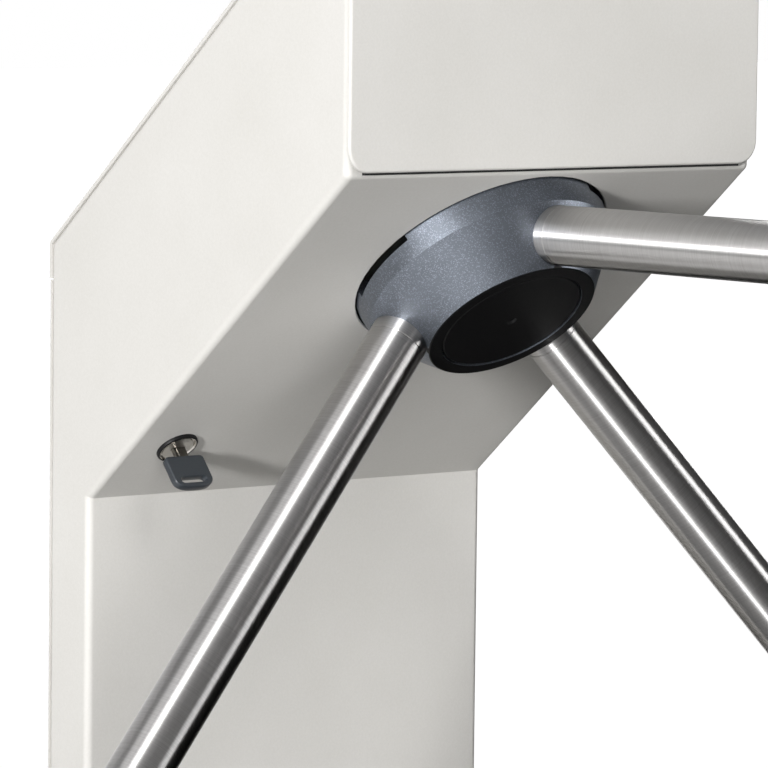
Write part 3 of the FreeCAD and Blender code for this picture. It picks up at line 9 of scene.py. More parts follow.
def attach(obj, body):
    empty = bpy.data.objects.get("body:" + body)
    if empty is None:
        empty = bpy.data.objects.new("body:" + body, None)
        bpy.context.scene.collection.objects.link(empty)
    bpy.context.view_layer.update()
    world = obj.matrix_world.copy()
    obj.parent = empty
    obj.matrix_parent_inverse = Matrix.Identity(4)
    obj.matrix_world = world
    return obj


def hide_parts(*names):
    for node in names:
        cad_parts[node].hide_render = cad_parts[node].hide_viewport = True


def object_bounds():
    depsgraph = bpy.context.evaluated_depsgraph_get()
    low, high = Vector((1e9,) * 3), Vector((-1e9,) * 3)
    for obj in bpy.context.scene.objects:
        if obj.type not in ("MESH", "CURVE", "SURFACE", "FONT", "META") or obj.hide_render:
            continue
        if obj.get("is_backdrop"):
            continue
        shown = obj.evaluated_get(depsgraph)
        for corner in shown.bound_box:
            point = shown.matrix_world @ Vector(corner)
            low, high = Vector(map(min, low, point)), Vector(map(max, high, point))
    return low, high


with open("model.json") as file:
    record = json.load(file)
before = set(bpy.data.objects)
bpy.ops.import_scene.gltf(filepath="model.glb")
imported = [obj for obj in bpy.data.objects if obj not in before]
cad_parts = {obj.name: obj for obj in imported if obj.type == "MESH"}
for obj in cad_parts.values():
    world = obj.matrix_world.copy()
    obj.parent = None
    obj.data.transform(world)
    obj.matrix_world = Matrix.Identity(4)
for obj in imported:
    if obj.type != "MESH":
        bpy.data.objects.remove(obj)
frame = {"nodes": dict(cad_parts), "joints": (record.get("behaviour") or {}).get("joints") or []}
cadLow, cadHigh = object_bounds()
nodes = frame["nodes"]
joints = {joint["name"]: joint for joint in frame["joints"]}
print("frame loaded:", len(nodes), "nodes")

scene = bpy.context.scene
scene.view_settings.view_transform = "Standard"
mm = 0.001

# camera, solved from straight edges of known size in the photograph
cameraSetup = {
    "place": (2.2249, -1.7521, 1.0549),
    "right": (0.62540511, 0.78021833, 0.01130555),
    "up": (-0.07561925, 0.04618141, 0.99606677),
    "lens": 238.58,
    "sensor": 36.0,
    "farClip": 100,
}
right = Vector(cameraSetup["right"]).normalized()
up = Vector(cameraSetup["up"]).normalized()
back = right.cross(up).normalized()
cameraData = bpy.data.cameras.new("photoCamera")
cameraData.lens = cameraSetup["lens"]
cameraData.sensor_width = cameraSetup["sensor"]
cameraData.clip_end = cameraSetup["farClip"]
camera = bpy.data.objects.new("photoCamera", cameraData)
scene.collection.objects.link(camera)
turned = Matrix((right, up, back)).transposed().to_4x4()
camera.matrix_world = Matrix.Translation(Vector(cameraSetup["place"])) @ turned
scene.camera = camera
print("camera set")


# materials: colours are sRGB hex, patterns are in real millimetres
srgbCurve = {"knee": 0.04045, "slope": 12.92, "offset": 0.055, "power": 2.4, "full": 255}


def toLinear(level):
    if level <= srgbCurve["knee"]:
        return level / srgbCurve["slope"]
    return ((level + srgbCurve["offset"]) / (1 + srgbCurve["offset"])) ** srgbCurve["power"]


def fromHex(code):
    levels = [int(code[i:i + 2], 16) / srgbCurve["full"] for i in range(0, len(code), 2)]
    return (*[toLinear(level) for level in levels], 1.0)


# a colour mix shares its socket names with its other types, so its sockets go by number
mixShare, mixFirst, mixSecond, mixResult = 0, 6, 7, 2


def addNode(tree, kind, inputs=None, **settings):
    node = tree.nodes.new(kind)
    for name, value in settings.items():
        setattr(node, name, value)
    for socket, source in (inputs or {}).items():
        if isinstance(source, bpy.types.NodeSocket):
            tree.links.new(source, node.inputs[socket])
        else:
            node.inputs[socket].default_value = source
    return node


def newMaterial(name, **sockets):
    material = bpy.data.materials.new(name)
    material.use_nodes = True
    tree = material.node_tree
    shader = tree.nodes["Principled BSDF"]
    for socket, value in sockets.items():
        shader.inputs[socket.replace("_", " ")].default_value = value
    place = addNode(tree, "ShaderNodeTexCoord").outputs["Object"]
    return material, tree, shader, place


def perMetre(millimetres):
    return 1.0 / (millimetres * mm)


# powder coat, sprayed and baked on sheet steel: an even satin skin with a fine pebbled grain
coat = {
    "dark": "d2d0cb",
    "light": "dbd9d5",
    "grainMm": 1.3,
    "cloudMm": 70,
    "bumpMm": 0.03,
    "roughness": (0.5, 0.62),
}


def powderCoat():
    material, tree, shader, place = newMaterial("powder coat, sprayed and baked", IOR=1.5,
                                                Specular_IOR_Level=0.2)
    cloud = addNode(tree, "ShaderNodeTexNoise",
                    {"Vector": place, "Scale": perMetre(coat["cloudMm"]), "Detail": 2.0})
    grain = addNode(tree, "ShaderNodeTexNoise",
                    {"Vector": place, "Scale": perMetre(coat["grainMm"]), "Detail": 3.0, "Roughness": 0.6})
    blend = addNode(tree, "ShaderNodeMath", {0: cloud.outputs["Fac"], 1: grain.outputs["Fac"]},
                    operation="ADD")
    tone = addNode(tree, "ShaderNodeMapRange",
                   {"Value": blend.outputs[0], "From Min": 0.6, "From Max": 1.4})
    colour = addNode(tree, "ShaderNodeMix",
                     {mixShare: tone.outputs["Result"], mixFirst: fromHex(coat["dark"]),
                      mixSecond: fromHex(coat["light"])}, data_type="RGBA")
    low, high = coat["roughness"]
    satin = addNode(tree, "ShaderNodeMapRange",
                    {"Value": grain.outputs["Fac"], "To Min": low, "To Max": high})
    bump = addNode(tree, "ShaderNodeBump",
                   {"Height": grain.outputs["Fac"], "Strength": 0.5, "Distance": coat["bumpMm"] * mm})
    tree.links.new(colour.outputs[mixResult], shader.inputs["Base Color"])
    tree.links.new(satin.outputs["Result"], shader.inputs["Roughness"])
    tree.links.new(bump.outputs[0], shader.inputs["Normal"])
    return material


# metallic flake enamel on a die casting: dark blue-grey, with specks that wink as it turns;
# the real flakes are too fine to show, so they are drawn at the size of a pixel or two
flake = {
    "dark": "6a6f77",
    "light": "777d86",
    "speck": "8c929d",
    "flakeMm": 0.42,
    "cloudMm": 9,
    "tilt": 0.05,
    "plainShare": 0.84,
    "roughness": (0.36, 0.42),
}


def flakeEnamel():
    material, tree, shader, place = newMaterial("metallic flake enamel on die casting", Metallic=0.9,
                                                Specular_IOR_Level=0.3)
    cells = addNode(tree, "ShaderNodeTexVoronoi", {"Vector": place, "Scale": perMetre(flake["flakeMm"])})
    cloud = addNode(tree, "ShaderNodeTexNoise",
                    {"Vector": place, "Scale": perMetre(flake["cloudMm"]), "Detail": 4.0})
    chance = addNode(tree, "ShaderNodeSeparateColor", {"Color": cells.outputs["Color"]})
    spot = addNode(tree, "ShaderNodeMath", {0: chance.outputs["Red"], 1: flake["plainShare"]},
                   operation="GREATER_THAN")
    ground = addNode(tree, "ShaderNodeMix",
                     {mixShare: cloud.outputs["Fac"], mixFirst: fromHex(flake["dark"]),
                      mixSecond: fromHex(flake["light"])}, data_type="RGBA")
    colour = addNode(tree, "ShaderNodeMix",
                     {mixShare: spot.outputs[0], mixFirst: ground.outputs[mixResult],
                      mixSecond: fromHex(flake["speck"])}, data_type="RGBA")
    # each cell's own colour, centred on zero, tips its normal a little
    lean = addNode(tree, "ShaderNodeVectorMath", {0: cells.outputs["Color"], 1: (0.5, 0.5, 0.5)},
                   operation="SUBTRACT")
    sway = addNode(tree, "ShaderNodeVectorMath", {0: lean.outputs[0], "Scale": flake["tilt"]},
                   operation="SCALE")
    facing = addNode(tree, "ShaderNodeNewGeometry").outputs["Normal"]
    tipped = addNode(tree, "ShaderNodeVectorMath", {0: facing, 1: sway.outputs[0]}, operation="ADD")
    unit = addNode(tree, "ShaderNodeVectorMath", {0: tipped.outputs[0]}, operation="NORMALIZE")
    low, high = flake["roughness"]
    satin = addNode(tree, "ShaderNodeMapRange",
                    {"Value": cloud.outputs["Fac"], "To Min": low, "To Max": high})
    tree.links.new(colour.outputs[mixResult], shader.inputs["Base Color"])
    tree.links.new(satin.outputs["Result"], shader.inputs["Roughness"])
    tree.links.new(unit.outputs[0], shader.inputs["Normal"])
    return material


# stainless tube, brushed round on a belt: fine rings across its length, so highlights run along it;
# the real scratches are finer, so the rings are drawn as coarse as they need to show
brushed = {
    "dark": "b4b2b1",
    "light": "cac9c8",
    "ringMm": 0.5,
    "patchMm": 60,
    "bumpMm": 0.0003,
    "roughness": (0.33, 0.39),
}


def brushedTube(name, axis):
    material, tree, shader, place = newMaterial(name, Metallic=1.0, Anisotropic=1.0,
                                                Anisotropic_Rotation=0.25)
    along = addNode(tree, "ShaderNodeVectorMath", {0: place, 1: axis}, operation="DOT_PRODUCT")
    line = addNode(tree, "ShaderNodeVectorMath", {0: axis, "Scale": along.outputs["Value"]},
                   operation="SCALE")
    patch = addNode(tree, "ShaderNodeVectorMath", {0: place, "Scale": perMetre(brushed["patchMm"])},
                    operation="SCALE")
    rings = addNode(tree, "ShaderNodeVectorMath",
                    {0: line.outputs[0], "Scale": perMetre(brushed["ringMm"])}, operation="SCALE")
    grain = addNode(tree, "ShaderNodeVectorMath", {0: patch.outputs[0], 1: rings.outputs[0]},
                    operation="ADD")
    noise = addNode(tree, "ShaderNodeTexNoise",
                    {"Vector": grain.outputs[0], "Scale": 1.0, "Detail": 5.0, "Roughness": 0.65})
    tone = addNode(tree, "ShaderNodeMapRange",
                   {"Value": noise.outputs["Fac"], "From Min": 0.3, "From Max": 0.7})
    colour = addNode(tree, "ShaderNodeMix",
                     {mixShare: tone.outputs["Result"], mixFirst: fromHex(brushed["dark"]),
                      mixSecond: fromHex(brushed["light"])}, data_type="RGBA")
    low, high = brushed["roughness"]
    satin = addNode(tree, "ShaderNodeMapRange",
                    {"Value": noise.outputs["Fac"], "To Min": low, "To Max": high})
    bump = addNode(tree, "ShaderNodeBump",
                   {"Height": noise.outputs["Fac"], "Strength": 0.35, "Distance": brushed["bumpMm"] * mm})
    facing = addNode(tree, "ShaderNodeNewGeometry").outputs["Normal"]
    around = addNode(tree, "ShaderNodeVectorMath", {0: facing, 1: axis}, operation="CROSS_PRODUCT")
    tree.links.new(colour.outputs[mixResult], shader.inputs["Base Color"])
    tree.links.new(satin.outputs["Result"], shader.inputs["Roughness"])
    tree.links.new(bump.outputs[0], shader.inputs["Normal"])
    tree.links.new(around.outputs[0], shader.inputs["Tangent"])
    return material


# plain finishes share one recipe: two tones, a grain size, a roughness span and a little relief
def grained(name, dark, light, grainMm, roughness, bumpMm, **sockets):
    material, tree, shader, place = newMaterial(name, **sockets)
    noise = addNode(tree, "ShaderNodeTexNoise",
                    {"Vector": place, "Scale": perMetre(grainMm), "Detail": 4.0})
    colour = addNode(tree, "ShaderNodeMix",
                     {mixShare: noise.outputs["Fac"], mixFirst: fromHex(dark), mixSecond: fromHex(light)},
                     data_type="RGBA")
    low, high = roughness
    sheen = addNode(tree, "ShaderNodeMapRange",
                    {"Value": noise.outputs["Fac"], "To Min": low, "To Max": high})
    bump = addNode(tree, "ShaderNodeBump",
                   {"Height": noise.outputs["Fac"], "Strength": 0.5, "Distance": bumpMm * mm})
    tree.links.new(colour.outputs[mixResult], shader.inputs["Base Color"])
    tree.links.new(sheen.outputs["Result"], shader.inputs["Roughness"])
    tree.links.new(bump.outputs[0], shader.inputs["Normal"])
    return material


# the directions of the inclined shaft and of the arms on it
arms = {"leanDegrees": 50.5, "count": 3}
shaftAxis = Vector(joints["hub_spin"]["axis"]).normalized()
hubCentre = Vector(joints["hub_spin"]["pos_m"])
slopeUp = Vector((-shaftAxis.z, 0, shaftAxis.x))
sideways = shaftAxis.cross(slopeUp)
armLean = math.radians(arms["leanDegrees"])


def armAxis(index):
    turn = 2 * math.pi * index / arms["count"]
    outward = slopeUp * math.cos(turn) + sideways * math.sin(turn)
    return shaftAxis * math.cos(armLean) + outward * math.sin(armLean)


coatMaterial = powderCoat()
finishes = {
    # moulded ABS, spark-eroded tool: black with a dull, even grain
    "black": grained("moulded ABS, black", "0d0d0e", "121213", 1.2, (0.42, 0.55), 0.02, IOR=1.54,
                     Specular_IOR_Level=0.2),
    # rubber, extruded: near black and dull; on the lid seal it is partly a real seal, partly painted shade
    # for the gap under the lid's edge
    "rubber": grained("extruded rubber", "0a0a0a", "141414", 1.5, (0.7, 0.85), 0.03, IOR=1.52),
    # zinc plate on cold-rolled sheet, passivated: pale dull grey with a faint spangle
    "zinc": grained("zinc-plated steel sheet, passivated", "9b9d9e", "b5b6b4", 6, (0.45, 0.6), 0.01,
                    Metallic=0.55),
    # zinc-plated fasteners: a little darker from handling
    "fastener": grained("zinc-plated fasteners", "8b8c8c", "a6a6a4", 3, (0.28, 0.42), 0.01, Metallic=1.0),
    # ground and turned steel, lightly oiled: mid grey with a soft shine
    "steel": grained("turned steel, oiled", "77797b", "92949a", 4, (0.25, 0.38), 0.008, Metallic=1.0),
    # bearing steel, lapped: close to a mirror
    "bearing": grained("lapped bearing steel", "a9abad", "b9babc", 8, (0.08, 0.16), 0.002, Metallic=1.0),
    # aluminium, turned and left bare: pale, with a soft sheen
    "aluminium": grained("turned aluminium", "b4b6b8", "c6c8ca", 2, (0.3, 0.42), 0.01, Metallic=1.0),
    # copper wire, enamelled and wound: red-brown, glossy on each turn
    "copper": grained("enamelled copper wire, wound", "8a4a22", "a35c2e", 1.0, (0.22, 0.36), 0.01,
                      Metallic=0.85),
    # nickel plate, bright: a clean mirror with slight waves
    "plate": grained("bright nickel plate", "b9b6b0", "cfccc6", 5, (0.08, 0.2), 0.003, Metallic=1.0),
    # nickel plate on milled brass: a soft grey sheen, not a mirror
    "nickel": grained("satin nickel plate on milled brass", "c4c1bb", "d2cfc9", 2.5, (0.3, 0.42), 0.006,
                      Metallic=1.0),
    # nickel silver, rolled and milled: drawn darker than plate
    "blade": grained("milled nickel silver", "77736c", "88847d", 1.5, (0.26, 0.36), 0.006, Metallic=1.0),
    # moulded nylon, blue-grey: satin, so only its edges catch the light
    "bow": grained("moulded nylon, blue-grey", "2e3237", "363b40", 1.0, (0.27, 0.38), 0.015, IOR=1.53),
    # acetal, machined, natural white: milky and satin
    "acetal": grained("machined acetal", "d8d5ca", "e2dfd5", 2, (0.35, 0.48), 0.01, IOR=1.48),
    # opal polycarbonate, moulded: milky, lets light into it
    "opal": grained("moulded opal polycarbonate", "dfe3e2", "e9ecea", 1.5, (0.18, 0.3), 0.02, IOR=1.585,
                    Transmission_Weight=0.35),
    # solder mask on glass-epoxy board: green and half glossy
    "board": grained("solder mask on glass epoxy", "0f3d22", "17502e", 1.4, (0.3, 0.45), 0.02, IOR=1.55),
}
finishOf = {
    "black": ["hub_cap", "arm_end_caps", "damper_body", "encoder_sensor", "release_switch"],
    # the lid seal's black strip stands partly for painted shade in the gap under the lid's front edge
    "rubber": ["lid_seal", "cable_grommet", "lock_washer"],
    "zinc": ["posts", "cross_rails", "side_plate_near", "side_plate_far", "front_plate", "rear_plate",
             "pillars", "face_standoffs", "hinge_fixed_leaves", "hinge_lid_leaves", "board_standoffs",
             "solenoid_near", "solenoid_far"],
    "fastener": ["rear_cover_screws", "chassis_bolts", "housing_bolts", "hub_bolt", "spigot_screws",
                 "shaft_nut", "hinge_pins", "lock_nut"],
    "steel": ["shaft", "shaft_spacers", "locking_disc", "lock_bolt_near", "lock_bolt_far", "drive_gear",
              "lock_cam"],
    "bearing": ["bearing_outer_rings", "bearing_inner_rings", "bearing_balls"],
    "aluminium": ["bearing_housings", "encoder_disc", "power_supply"],
    "plate": ["lock_barrel"],
    "nickel": ["lock_plug"],
    "blade": ["key_blade"],
    "bow": ["key_bow"],
    "acetal": ["damper_pinion", "switch_plunger"],
    "opal": ["indicator_lens"],
    "board": ["control_board"],
}


def dress(name, material):
    mesh = nodes[name].data
    mesh.materials.clear()
    mesh.materials.append(material)


for finish, names in finishOf.items():
    for name in names:
        dress(name, finishes[finish])
for name in ("case_shell", "lid", "upper_rear_cover", "lower_rear_cover", "base_plate"):
    dress(name, coatMaterial)
dress("hub", flakeEnamel())

# the hub's front ring is masked off from the enamel and left black like its cap
hubFront = {"rimMm": 1.6}
hubMesh = nodes["hub"].data
hubMesh.materials.append(finishes["black"])
depths = [(vertex.co - hubCentre).dot(shaftAxis) for vertex in hubMesh.vertices]
for face in hubMesh.polygons:
    if min(depths[corner] for corner in face.vertices) > max(depths) - hubFront["rimMm"] * mm:
        face.material_index = 1
spigotMesh = nodes["arm_spigots"].data
spigotMesh.materials.clear()
for index in range(arms["count"]):
    tube = brushedTube(f"stainless tube {index + 1}, brushed round", armAxis(index))
    dress(f"arm_tube_{index + 1}", tube)
    spigotMesh.materials.append(tube)
for face in spigotMesh.polygons:
    leans = [(face.center - hubCentre).dot(armAxis(index)) for index in range(arms["count"])]
    face.material_index = leans.index(max(leans))
print("materials made")


def addPiece(name, shape, materials, body, sharpDegrees, replaced=()):
    bmesh.ops.recalc_face_normals(shape, faces=shape.faces)
    if shape.calc_volume(signed=True) < 0:
        bmesh.ops.reverse_faces(shape, faces=shape.faces)
    mesh = bpy.data.meshes.new(name)
    shape.to_mesh(mesh)
    shape.free()
    mesh.shade_smooth()
    mesh.set_sharp_from_angle(angle=math.radians(sharpDegrees))
    for material in materials:
        mesh.materials.append(material)
    piece = bpy.data.objects.new(name, mesh)
    scene.collection.objects.link(piece)
    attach(piece, body)
    if replaced:
        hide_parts(*replaced)


def joinLoops(shape, loops, ring=False, tinted=()):
    chain = loops + [loops[0]] if ring else loops
    for step, (near, far) in enumerate(zip(chain, chain[1:])):
        for i in range(len(near)):
            j = (i + 1) % len(near)
            face = shape.faces.new((near[i], near[j], far[j], far[i]))
            face.material_index = int(step in tinted)
    if not ring:
        shape.faces.new(loops[0])
        shape.faces.new(loops[-1])


def clusters(name, reach):
    groups = []
    for vertex in nodes[name].data.vertices:
        for group in groups:
            if (group[0] - vertex.co).length < reach:
                group.append(vertex.co)
                break
        else:
            groups.append([vertex.co])
    return groups


def spanAlong(points, direction):
    places = [point.dot(direction) for point in points]
    return min(places), max(places)


# screws: zinc-plated pan heads with a hexagon socket, radius and height from the seat in millimetres;
# the cover's are whole, the hinges' are smaller heads on the leaves
screwSetup = {
    "shank": [(1.6, -3.4), (2.0, -3.0), (2.0, 0.0)],
    "head": [(4.2, 0.0), (4.4, 0.2), (4.4, 0.8), (4.2, 1.3), (3.7, 1.8), (2.9, 2.2), (2.1, 2.4),
             (1.75, 2.4)],
    "socket": [(1.5, 2.3), (1.5, 0.9), (0.8, 0.6)],
    "headMm": 2.4,
    "reachMm": 15,
    "slopeFromMetres": 0.85,
    "hinge": {"size": 0.62, "fromPinMm": 14.5, "leafFromMm": 10, "middleMm": 104,
              "stationsMm": (-17, 0, 17)},
    "steps": 48,
    "sharp": 40,
}
acrossCase = Vector((0, 1, 0))


def addScrew(shape, seat, outward, rings, size=1.0):
    other = outward.cross(acrossCase)
    sixth = math.pi / 3
    loops = []
    for radius, height in rings + screwSetup["socket"]:
        loop = []
        for step in range(screwSetup["steps"]):
            angle = 2 * math.pi * step / screwSetup["steps"]
            reach = radius
            if (radius, height) in screwSetup["socket"]:
                reach = radius / math.cos(angle % sixth - sixth / 2)
            side = acrossCase * math.cos(angle) + other * math.sin(angle)
            loop.append(shape.verts.new(seat + (side * reach + outward * height) * size * mm))
        loops.append(loop)
    joinLoops(shape, loops)


def coverScrews():
    shape = bmesh.new()
    for group in clusters("rear_cover_screws", screwSetup["reachMm"] * mm):
        outward = -shaftAxis if group[0].z > screwSetup["slopeFromMetres"] else Vector((-1, 0, 0))
        seat = outward * (spanAlong(group, outward)[1] - screwSetup["headMm"] * mm)
        for side in (acrossCase, outward.cross(acrossCase)):
            seat += side * sum(spanAlong(group, side)) / 2
        addScrew(shape, seat, outward, screwSetup["shank"] + screwSetup["head"])
    addPiece("coverScrews", shape, [finishes["fastener"]], "root", screwSetup["sharp"],
             ["rear_cover_screws"])


def hingeScrews(name, leaf, body, outward, away):
    hinge = screwSetup["hinge"]
    pin = Vector(joints["lid_open"]["pos_m"])
    points = [vertex.co for vertex in nodes[leaf].data.vertices]
    flat = [point for point in points if (point - pin).dot(away) > hinge["leafFromMm"] * mm]
    top = spanAlong(flat, outward)[1]
    shape = bmesh.new()
    for side in (-1, 1):
        for station in hinge["stationsMm"]:
            seat = pin + (away * hinge["fromPinMm"] + acrossCase * (side * hinge["middleMm"] + station)) * mm
            seat += outward * (top - seat.dot(outward))
            addScrew(shape, seat, outward, screwSetup["head"], hinge["size"])
    addPiece(name, shape, [finishes["fastener"]], body, screwSetup["sharp"])


# key blade: a groove milled along each side, teeth cut in one edge, a tapered tip; sizes in millimetres
bladeSetup = {
    "thick": 2.0,
    "wide": 8.6,
    "groove": {"depth": 0.45, "from": 1.7, "to": 3.3, "slope": 0.3},
    "edge": 0.25,
    "cuts": [0.0, 0.0, 1.5, 0.5, 1.7, 1.1, 0.3, 1.4, 0.0, 0.0],
    "cutSpan": (-18.0, -1.5),
    "tip": 2.5,
    "step": 0.5,
    "sharp": 25,
}


def bladeLimits(along, tip):
    first, last = bladeSetup["cutSpan"]
    cuts = bladeSetup["cuts"]
    place = min(max((along - first) / (last - first), 0), 1) * (len(cuts) - 1)
    index = min(int(place), len(cuts) - 2)
    depth = cuts[index] + (cuts[index + 1] - cuts[index]) * (place - index)
    taper = max(0.0, bladeSetup["tip"] - (along - tip))
    half = bladeSetup["wide"] / 2
    return max(depth, taper) - half, half - taper


lockCentre = Vector(joints["lock_turn"]["pos_m"])
nearWay = Vector((0, -1, 0))


def lockPoint(thick, wide, along):
    return lockCentre + (slopeUp * thick + nearWay * wide + shaftAxis * along) * mm


def lockSpan(name):
    low, high = spanAlong([vertex.co - lockCentre for vertex in nodes[name].data.vertices], shaftAxis)
    return low / mm, high / mm


def keyBlade():
    tip, end = lockSpan("key_blade")
    groove = bladeSetup["groove"]
    thick = bladeSetup["thick"] / 2
    bed = thick - groove["depth"]
    edge = bladeSetup["edge"]
    shape = bmesh.new()
    loops = []
    stations = round((end - tip) / bladeSetup["step"])
    for station in range(stations + 1):
        along = tip + (end - tip) * station / stations
        low, high = bladeLimits(along, tip)
        side = [
            (thick - edge, low),
            (thick, low + edge),
            (thick, groove["from"]),
            (bed, groove["from"] + groove["slope"]),
            (bed, groove["to"] - groove["slope"]),
            (thick, groove["to"]),
            (thick, high - edge),
            (thick - edge, high),
        ]
        rear = [(-across, place) for across, place in reversed(side)]
        loops.append([shape.verts.new(lockPoint(deep, wide, along)) for deep, wide in side + rear])
    joinLoops(shape, loops)
    addPiece("keyBlade", shape, [finishes["blade"]], "key", bladeSetup["sharp"], ["key_blade"])


# key bow: moulded grip with an arched end, a rounded rim and a slot for a ring; sizes in millimetres
bowSetup = {
    "halfWide": 12.8,
    "halfThick": 2.3,
    "arch": 6.0,
    "curve": (3.2, 0.5),
    "shoulder": 2.0,
    "slotHalf": (8.5, 1.9),
    "slotInset": 5.0,
    "rim": [(0.0, 0.6), (0.12, 0.8), (0.4, 0.94), (0.8, 1.0), (1.05, 1.0)],
    "slotRim": [(0.75, 1.0), (0.5, 1.0), (0.15, 0.9), (0.0, 0.7)],
    "steps": 96,
    "halvings": 40,
    "sharp": 35,
}


def bowOutline(angle, start, end, inset):
    power, root = bowSetup["curve"]
    half = bowSetup["halfWide"] - inset
    waist = end - bowSetup["arch"]
    low, high = start + inset, end - inset
    reachX, reachY = math.cos(angle), math.sin(angle)
    centre = end - bowSetup["slotInset"]
    near, far = 0.0, 2 * (end - start)
    for halving in range(bowSetup["halvings"]):
        middle = (near + far) / 2
        wide, along = abs(reachX) * middle, centre + reachY * middle
        inside = wide < half and along > low
        if inside and along > waist:
            inside = along < waist + (high - waist) * (1 - (wide / half) ** power) ** root
        if inside and along < low + bowSetup["shoulder"]:
            rounding = (low + bowSetup["shoulder"] - along) / bowSetup["shoulder"]
            inside = wide < half - bowSetup["shoulder"] * (1 - math.sqrt(1 - rounding ** 2))
        near, far = (middle, far) if inside else (near, middle)
    return reachX * near, centre + reachY * near


def slotOutline(angle, end, grow):
    half, high = (size + grow for size in bowSetup["slotHalf"])
    straight = half - high
    reachX, reachY = math.cos(angle), math.sin(angle)
    centre = end - bowSetup["slotInset"]
    if abs(reachY) * straight > abs(reachX) * high:
        return reachX / abs(reachY) * high, centre + math.copysign(high, reachY)
    run = abs(reachX) * straight + math.sqrt(max(high ** 2 - (reachY * straight) ** 2, 0))
    return reachX * run, centre + reachY * run


def keyBow():
    start, end = lockSpan("key_bow")
    thick = bowSetup["halfThick"]
    angles = [2 * math.pi * step / bowSetup["steps"] for step in range(bowSetup["steps"])]
    shape = bmesh.new()
    front = [(inset, thick * share, True) for inset, share in bowSetup["rim"]]
    front += [(grow, thick * share, False) for grow, share in bowSetup["slotRim"]]
    loops = []
    for inset, level, outer in front + [(size, -level, outer) for size, level, outer in reversed(front)]:
        if outer:
            points = [bowOutline(angle, start, end, inset) for angle in angles]
        else:
            points = [slotOutline(angle, end, inset) for angle in angles]
        loops.append([shape.verts.new(lockPoint(level, wide, along)) for wide, along in points])
    joinLoops(shape, loops, ring=True)
    addPiece("keyBow", shape, [finishes["bow"]], "key", bowSetup["sharp"], ["key_bow"])


# lock barrel: nickel, with the outer wall, bevel and edge of its rim drawn black as a painted dark reflection
# of the surroundings; radius and height from the casing in millimetres
barrelSetup = {
    "rings": [(7.1, -20.0), (9.0, -20.0), (9.4, -19.6), (9.4, 0.0), (12.0, 0.0), (12.0, 1.2), (11.7, 1.75),
              (11.2, 2.0), (10.75, 2.0), (10.5, 1.9), (10.1, 1.0), (9.7, 0.5), (7.1, 0.45)],
    # steps drawn black: painted reflection of the dark surroundings in the rim's bevel
    "paintedReflectionRings": (4, 5, 6, 7),
    "steps": 72,
    "sharp": 30,
}


def lockBarrel():
    shape = bmesh.new()
    angles = [2 * math.pi * step / barrelSetup["steps"] for step in range(barrelSetup["steps"])]
    loops = []
    for radius, height in barrelSetup["rings"]:
        points = [lockPoint(radius * math.cos(angle), radius * math.sin(angle), height) for angle in angles]
        loops.append([shape.verts.new(point) for point in points])
    # the tinted steps take black plastic, a painted dark reflection on the rim
    joinLoops(shape, loops, ring=True, tinted=barrelSetup["paintedReflectionRings"])
    addPiece("lockBarrel", shape, [finishes["plate"], finishes["black"]], "root",
             barrelSetup["sharp"], ["lock_barrel", "lock_washer"])


# solenoids: a coil on a bobbin in a steel yoke of two plates and a web; sizes in millimetres
solenoidSetup = {
    "plate": 2.5,
    "bore": 6.5,
    "fit": 0.1,
    "flange": (14.4, 1.2),
    "wire": {"radius": 13.2, "groove": 0.3, "pitch": 1.0},
    "tiny": 0.001,
    "steps": 48,
    "sharp": 50,
}


def solenoid(name, node, outward):
    points = [vertex.co for vertex in nodes[node].data.vertices]
    axisStart, halves = Vector(), []
    for side in (slopeUp, shaftAxis, outward):
        low, high = spanAlong(points, side)
        axisStart += side * (low if side is outward else (low + high) / 2)
        halves.append((high - low) / 2 / mm)
    halfWide, halfTall, length = halves[0], halves[1], 2 * halves[2]
    plate, bore = solenoidSetup["plate"], solenoidSetup["bore"]
    angles = [2 * math.pi * step / solenoidSetup["steps"] for step in range(solenoidSetup["steps"])]
    circle = [(math.cos(angle), math.sin(angle)) for angle in angles]
    shape = bmesh.new()

    def addLoop(outline, along):
        offsets = [slopeUp * wide + shaftAxis * tall + outward * along for wide, tall in outline]
        return [shape.verts.new(axisStart + offset * mm) for offset in offsets]

    square = []
    tiny = solenoidSetup["tiny"]
    for wide, tall in circle:
        reach = min(halfWide / max(abs(wide), tiny), halfTall / max(abs(tall), tiny))
        square.append((wide * reach, tall * reach))
    hole = [(wide * bore, tall * bore) for wide, tall in circle]
    for start in (0, length - plate):
        outlines = [(square, start), (hole, start), (hole, start + plate), (square, start + plate)]
        joinLoops(shape, [addLoop(outline, along) for outline, along in outlines], ring=True)
    webTop = plate - halfTall
    web = [(-halfWide, -halfTall), (halfWide, -halfTall), (halfWide, webTop), (-halfWide, webTop)]
    inner, outer = plate + solenoidSetup["fit"], length - plate - solenoidSetup["fit"]
    joinLoops(shape, [addLoop(web, inner), addLoop(web, outer)])

    flange, thick = solenoidSetup["flange"]
    wire = solenoidSetup["wire"]
    sleeve = bore + solenoidSetup["fit"]
    near, far = inner + thick, outer - thick
    turns = round((far - near) / wire["pitch"])
    rings = [(sleeve, inner), (flange, inner), (flange, near)]
    wound = range(len(rings), len(rings) + 2 * turns)
    for half in range(2 * turns + 1):
        radius = wire["radius"] if half % 2 else wire["radius"] - wire["groove"]
        rings.append((radius, near + (far - near) * half / (2 * turns)))
    rings += [(flange, far), (flange, outer), (sleeve, outer)]
    loops = []
    for radius, along in rings:
        loops.append(addLoop([(wide * radius, tall * radius) for wide, tall in circle], along))
    joinLoops(shape, loops, ring=True, tinted=wound)
    addPiece(name, shape, [finishes["zinc"], finishes["copper"]], "root", solenoidSetup["sharp"],
             [node])


coverScrews()
hingeScrews("hingeScrewsCase", "hinge_fixed_leaves", "root", -shaftAxis, -slopeUp)
hingeScrews("hingeScrewsLid", "hinge_lid_leaves", "lid_body", Vector((0, 0, 1)), Vector((1, 0, 0)))
keyBlade()
keyBow()
lockBarrel()
solenoid("solenoidNear", "solenoid_near", nearWay)
solenoid("solenoidFar", "solenoid_far", -nearWay)
print("detail pieces made")

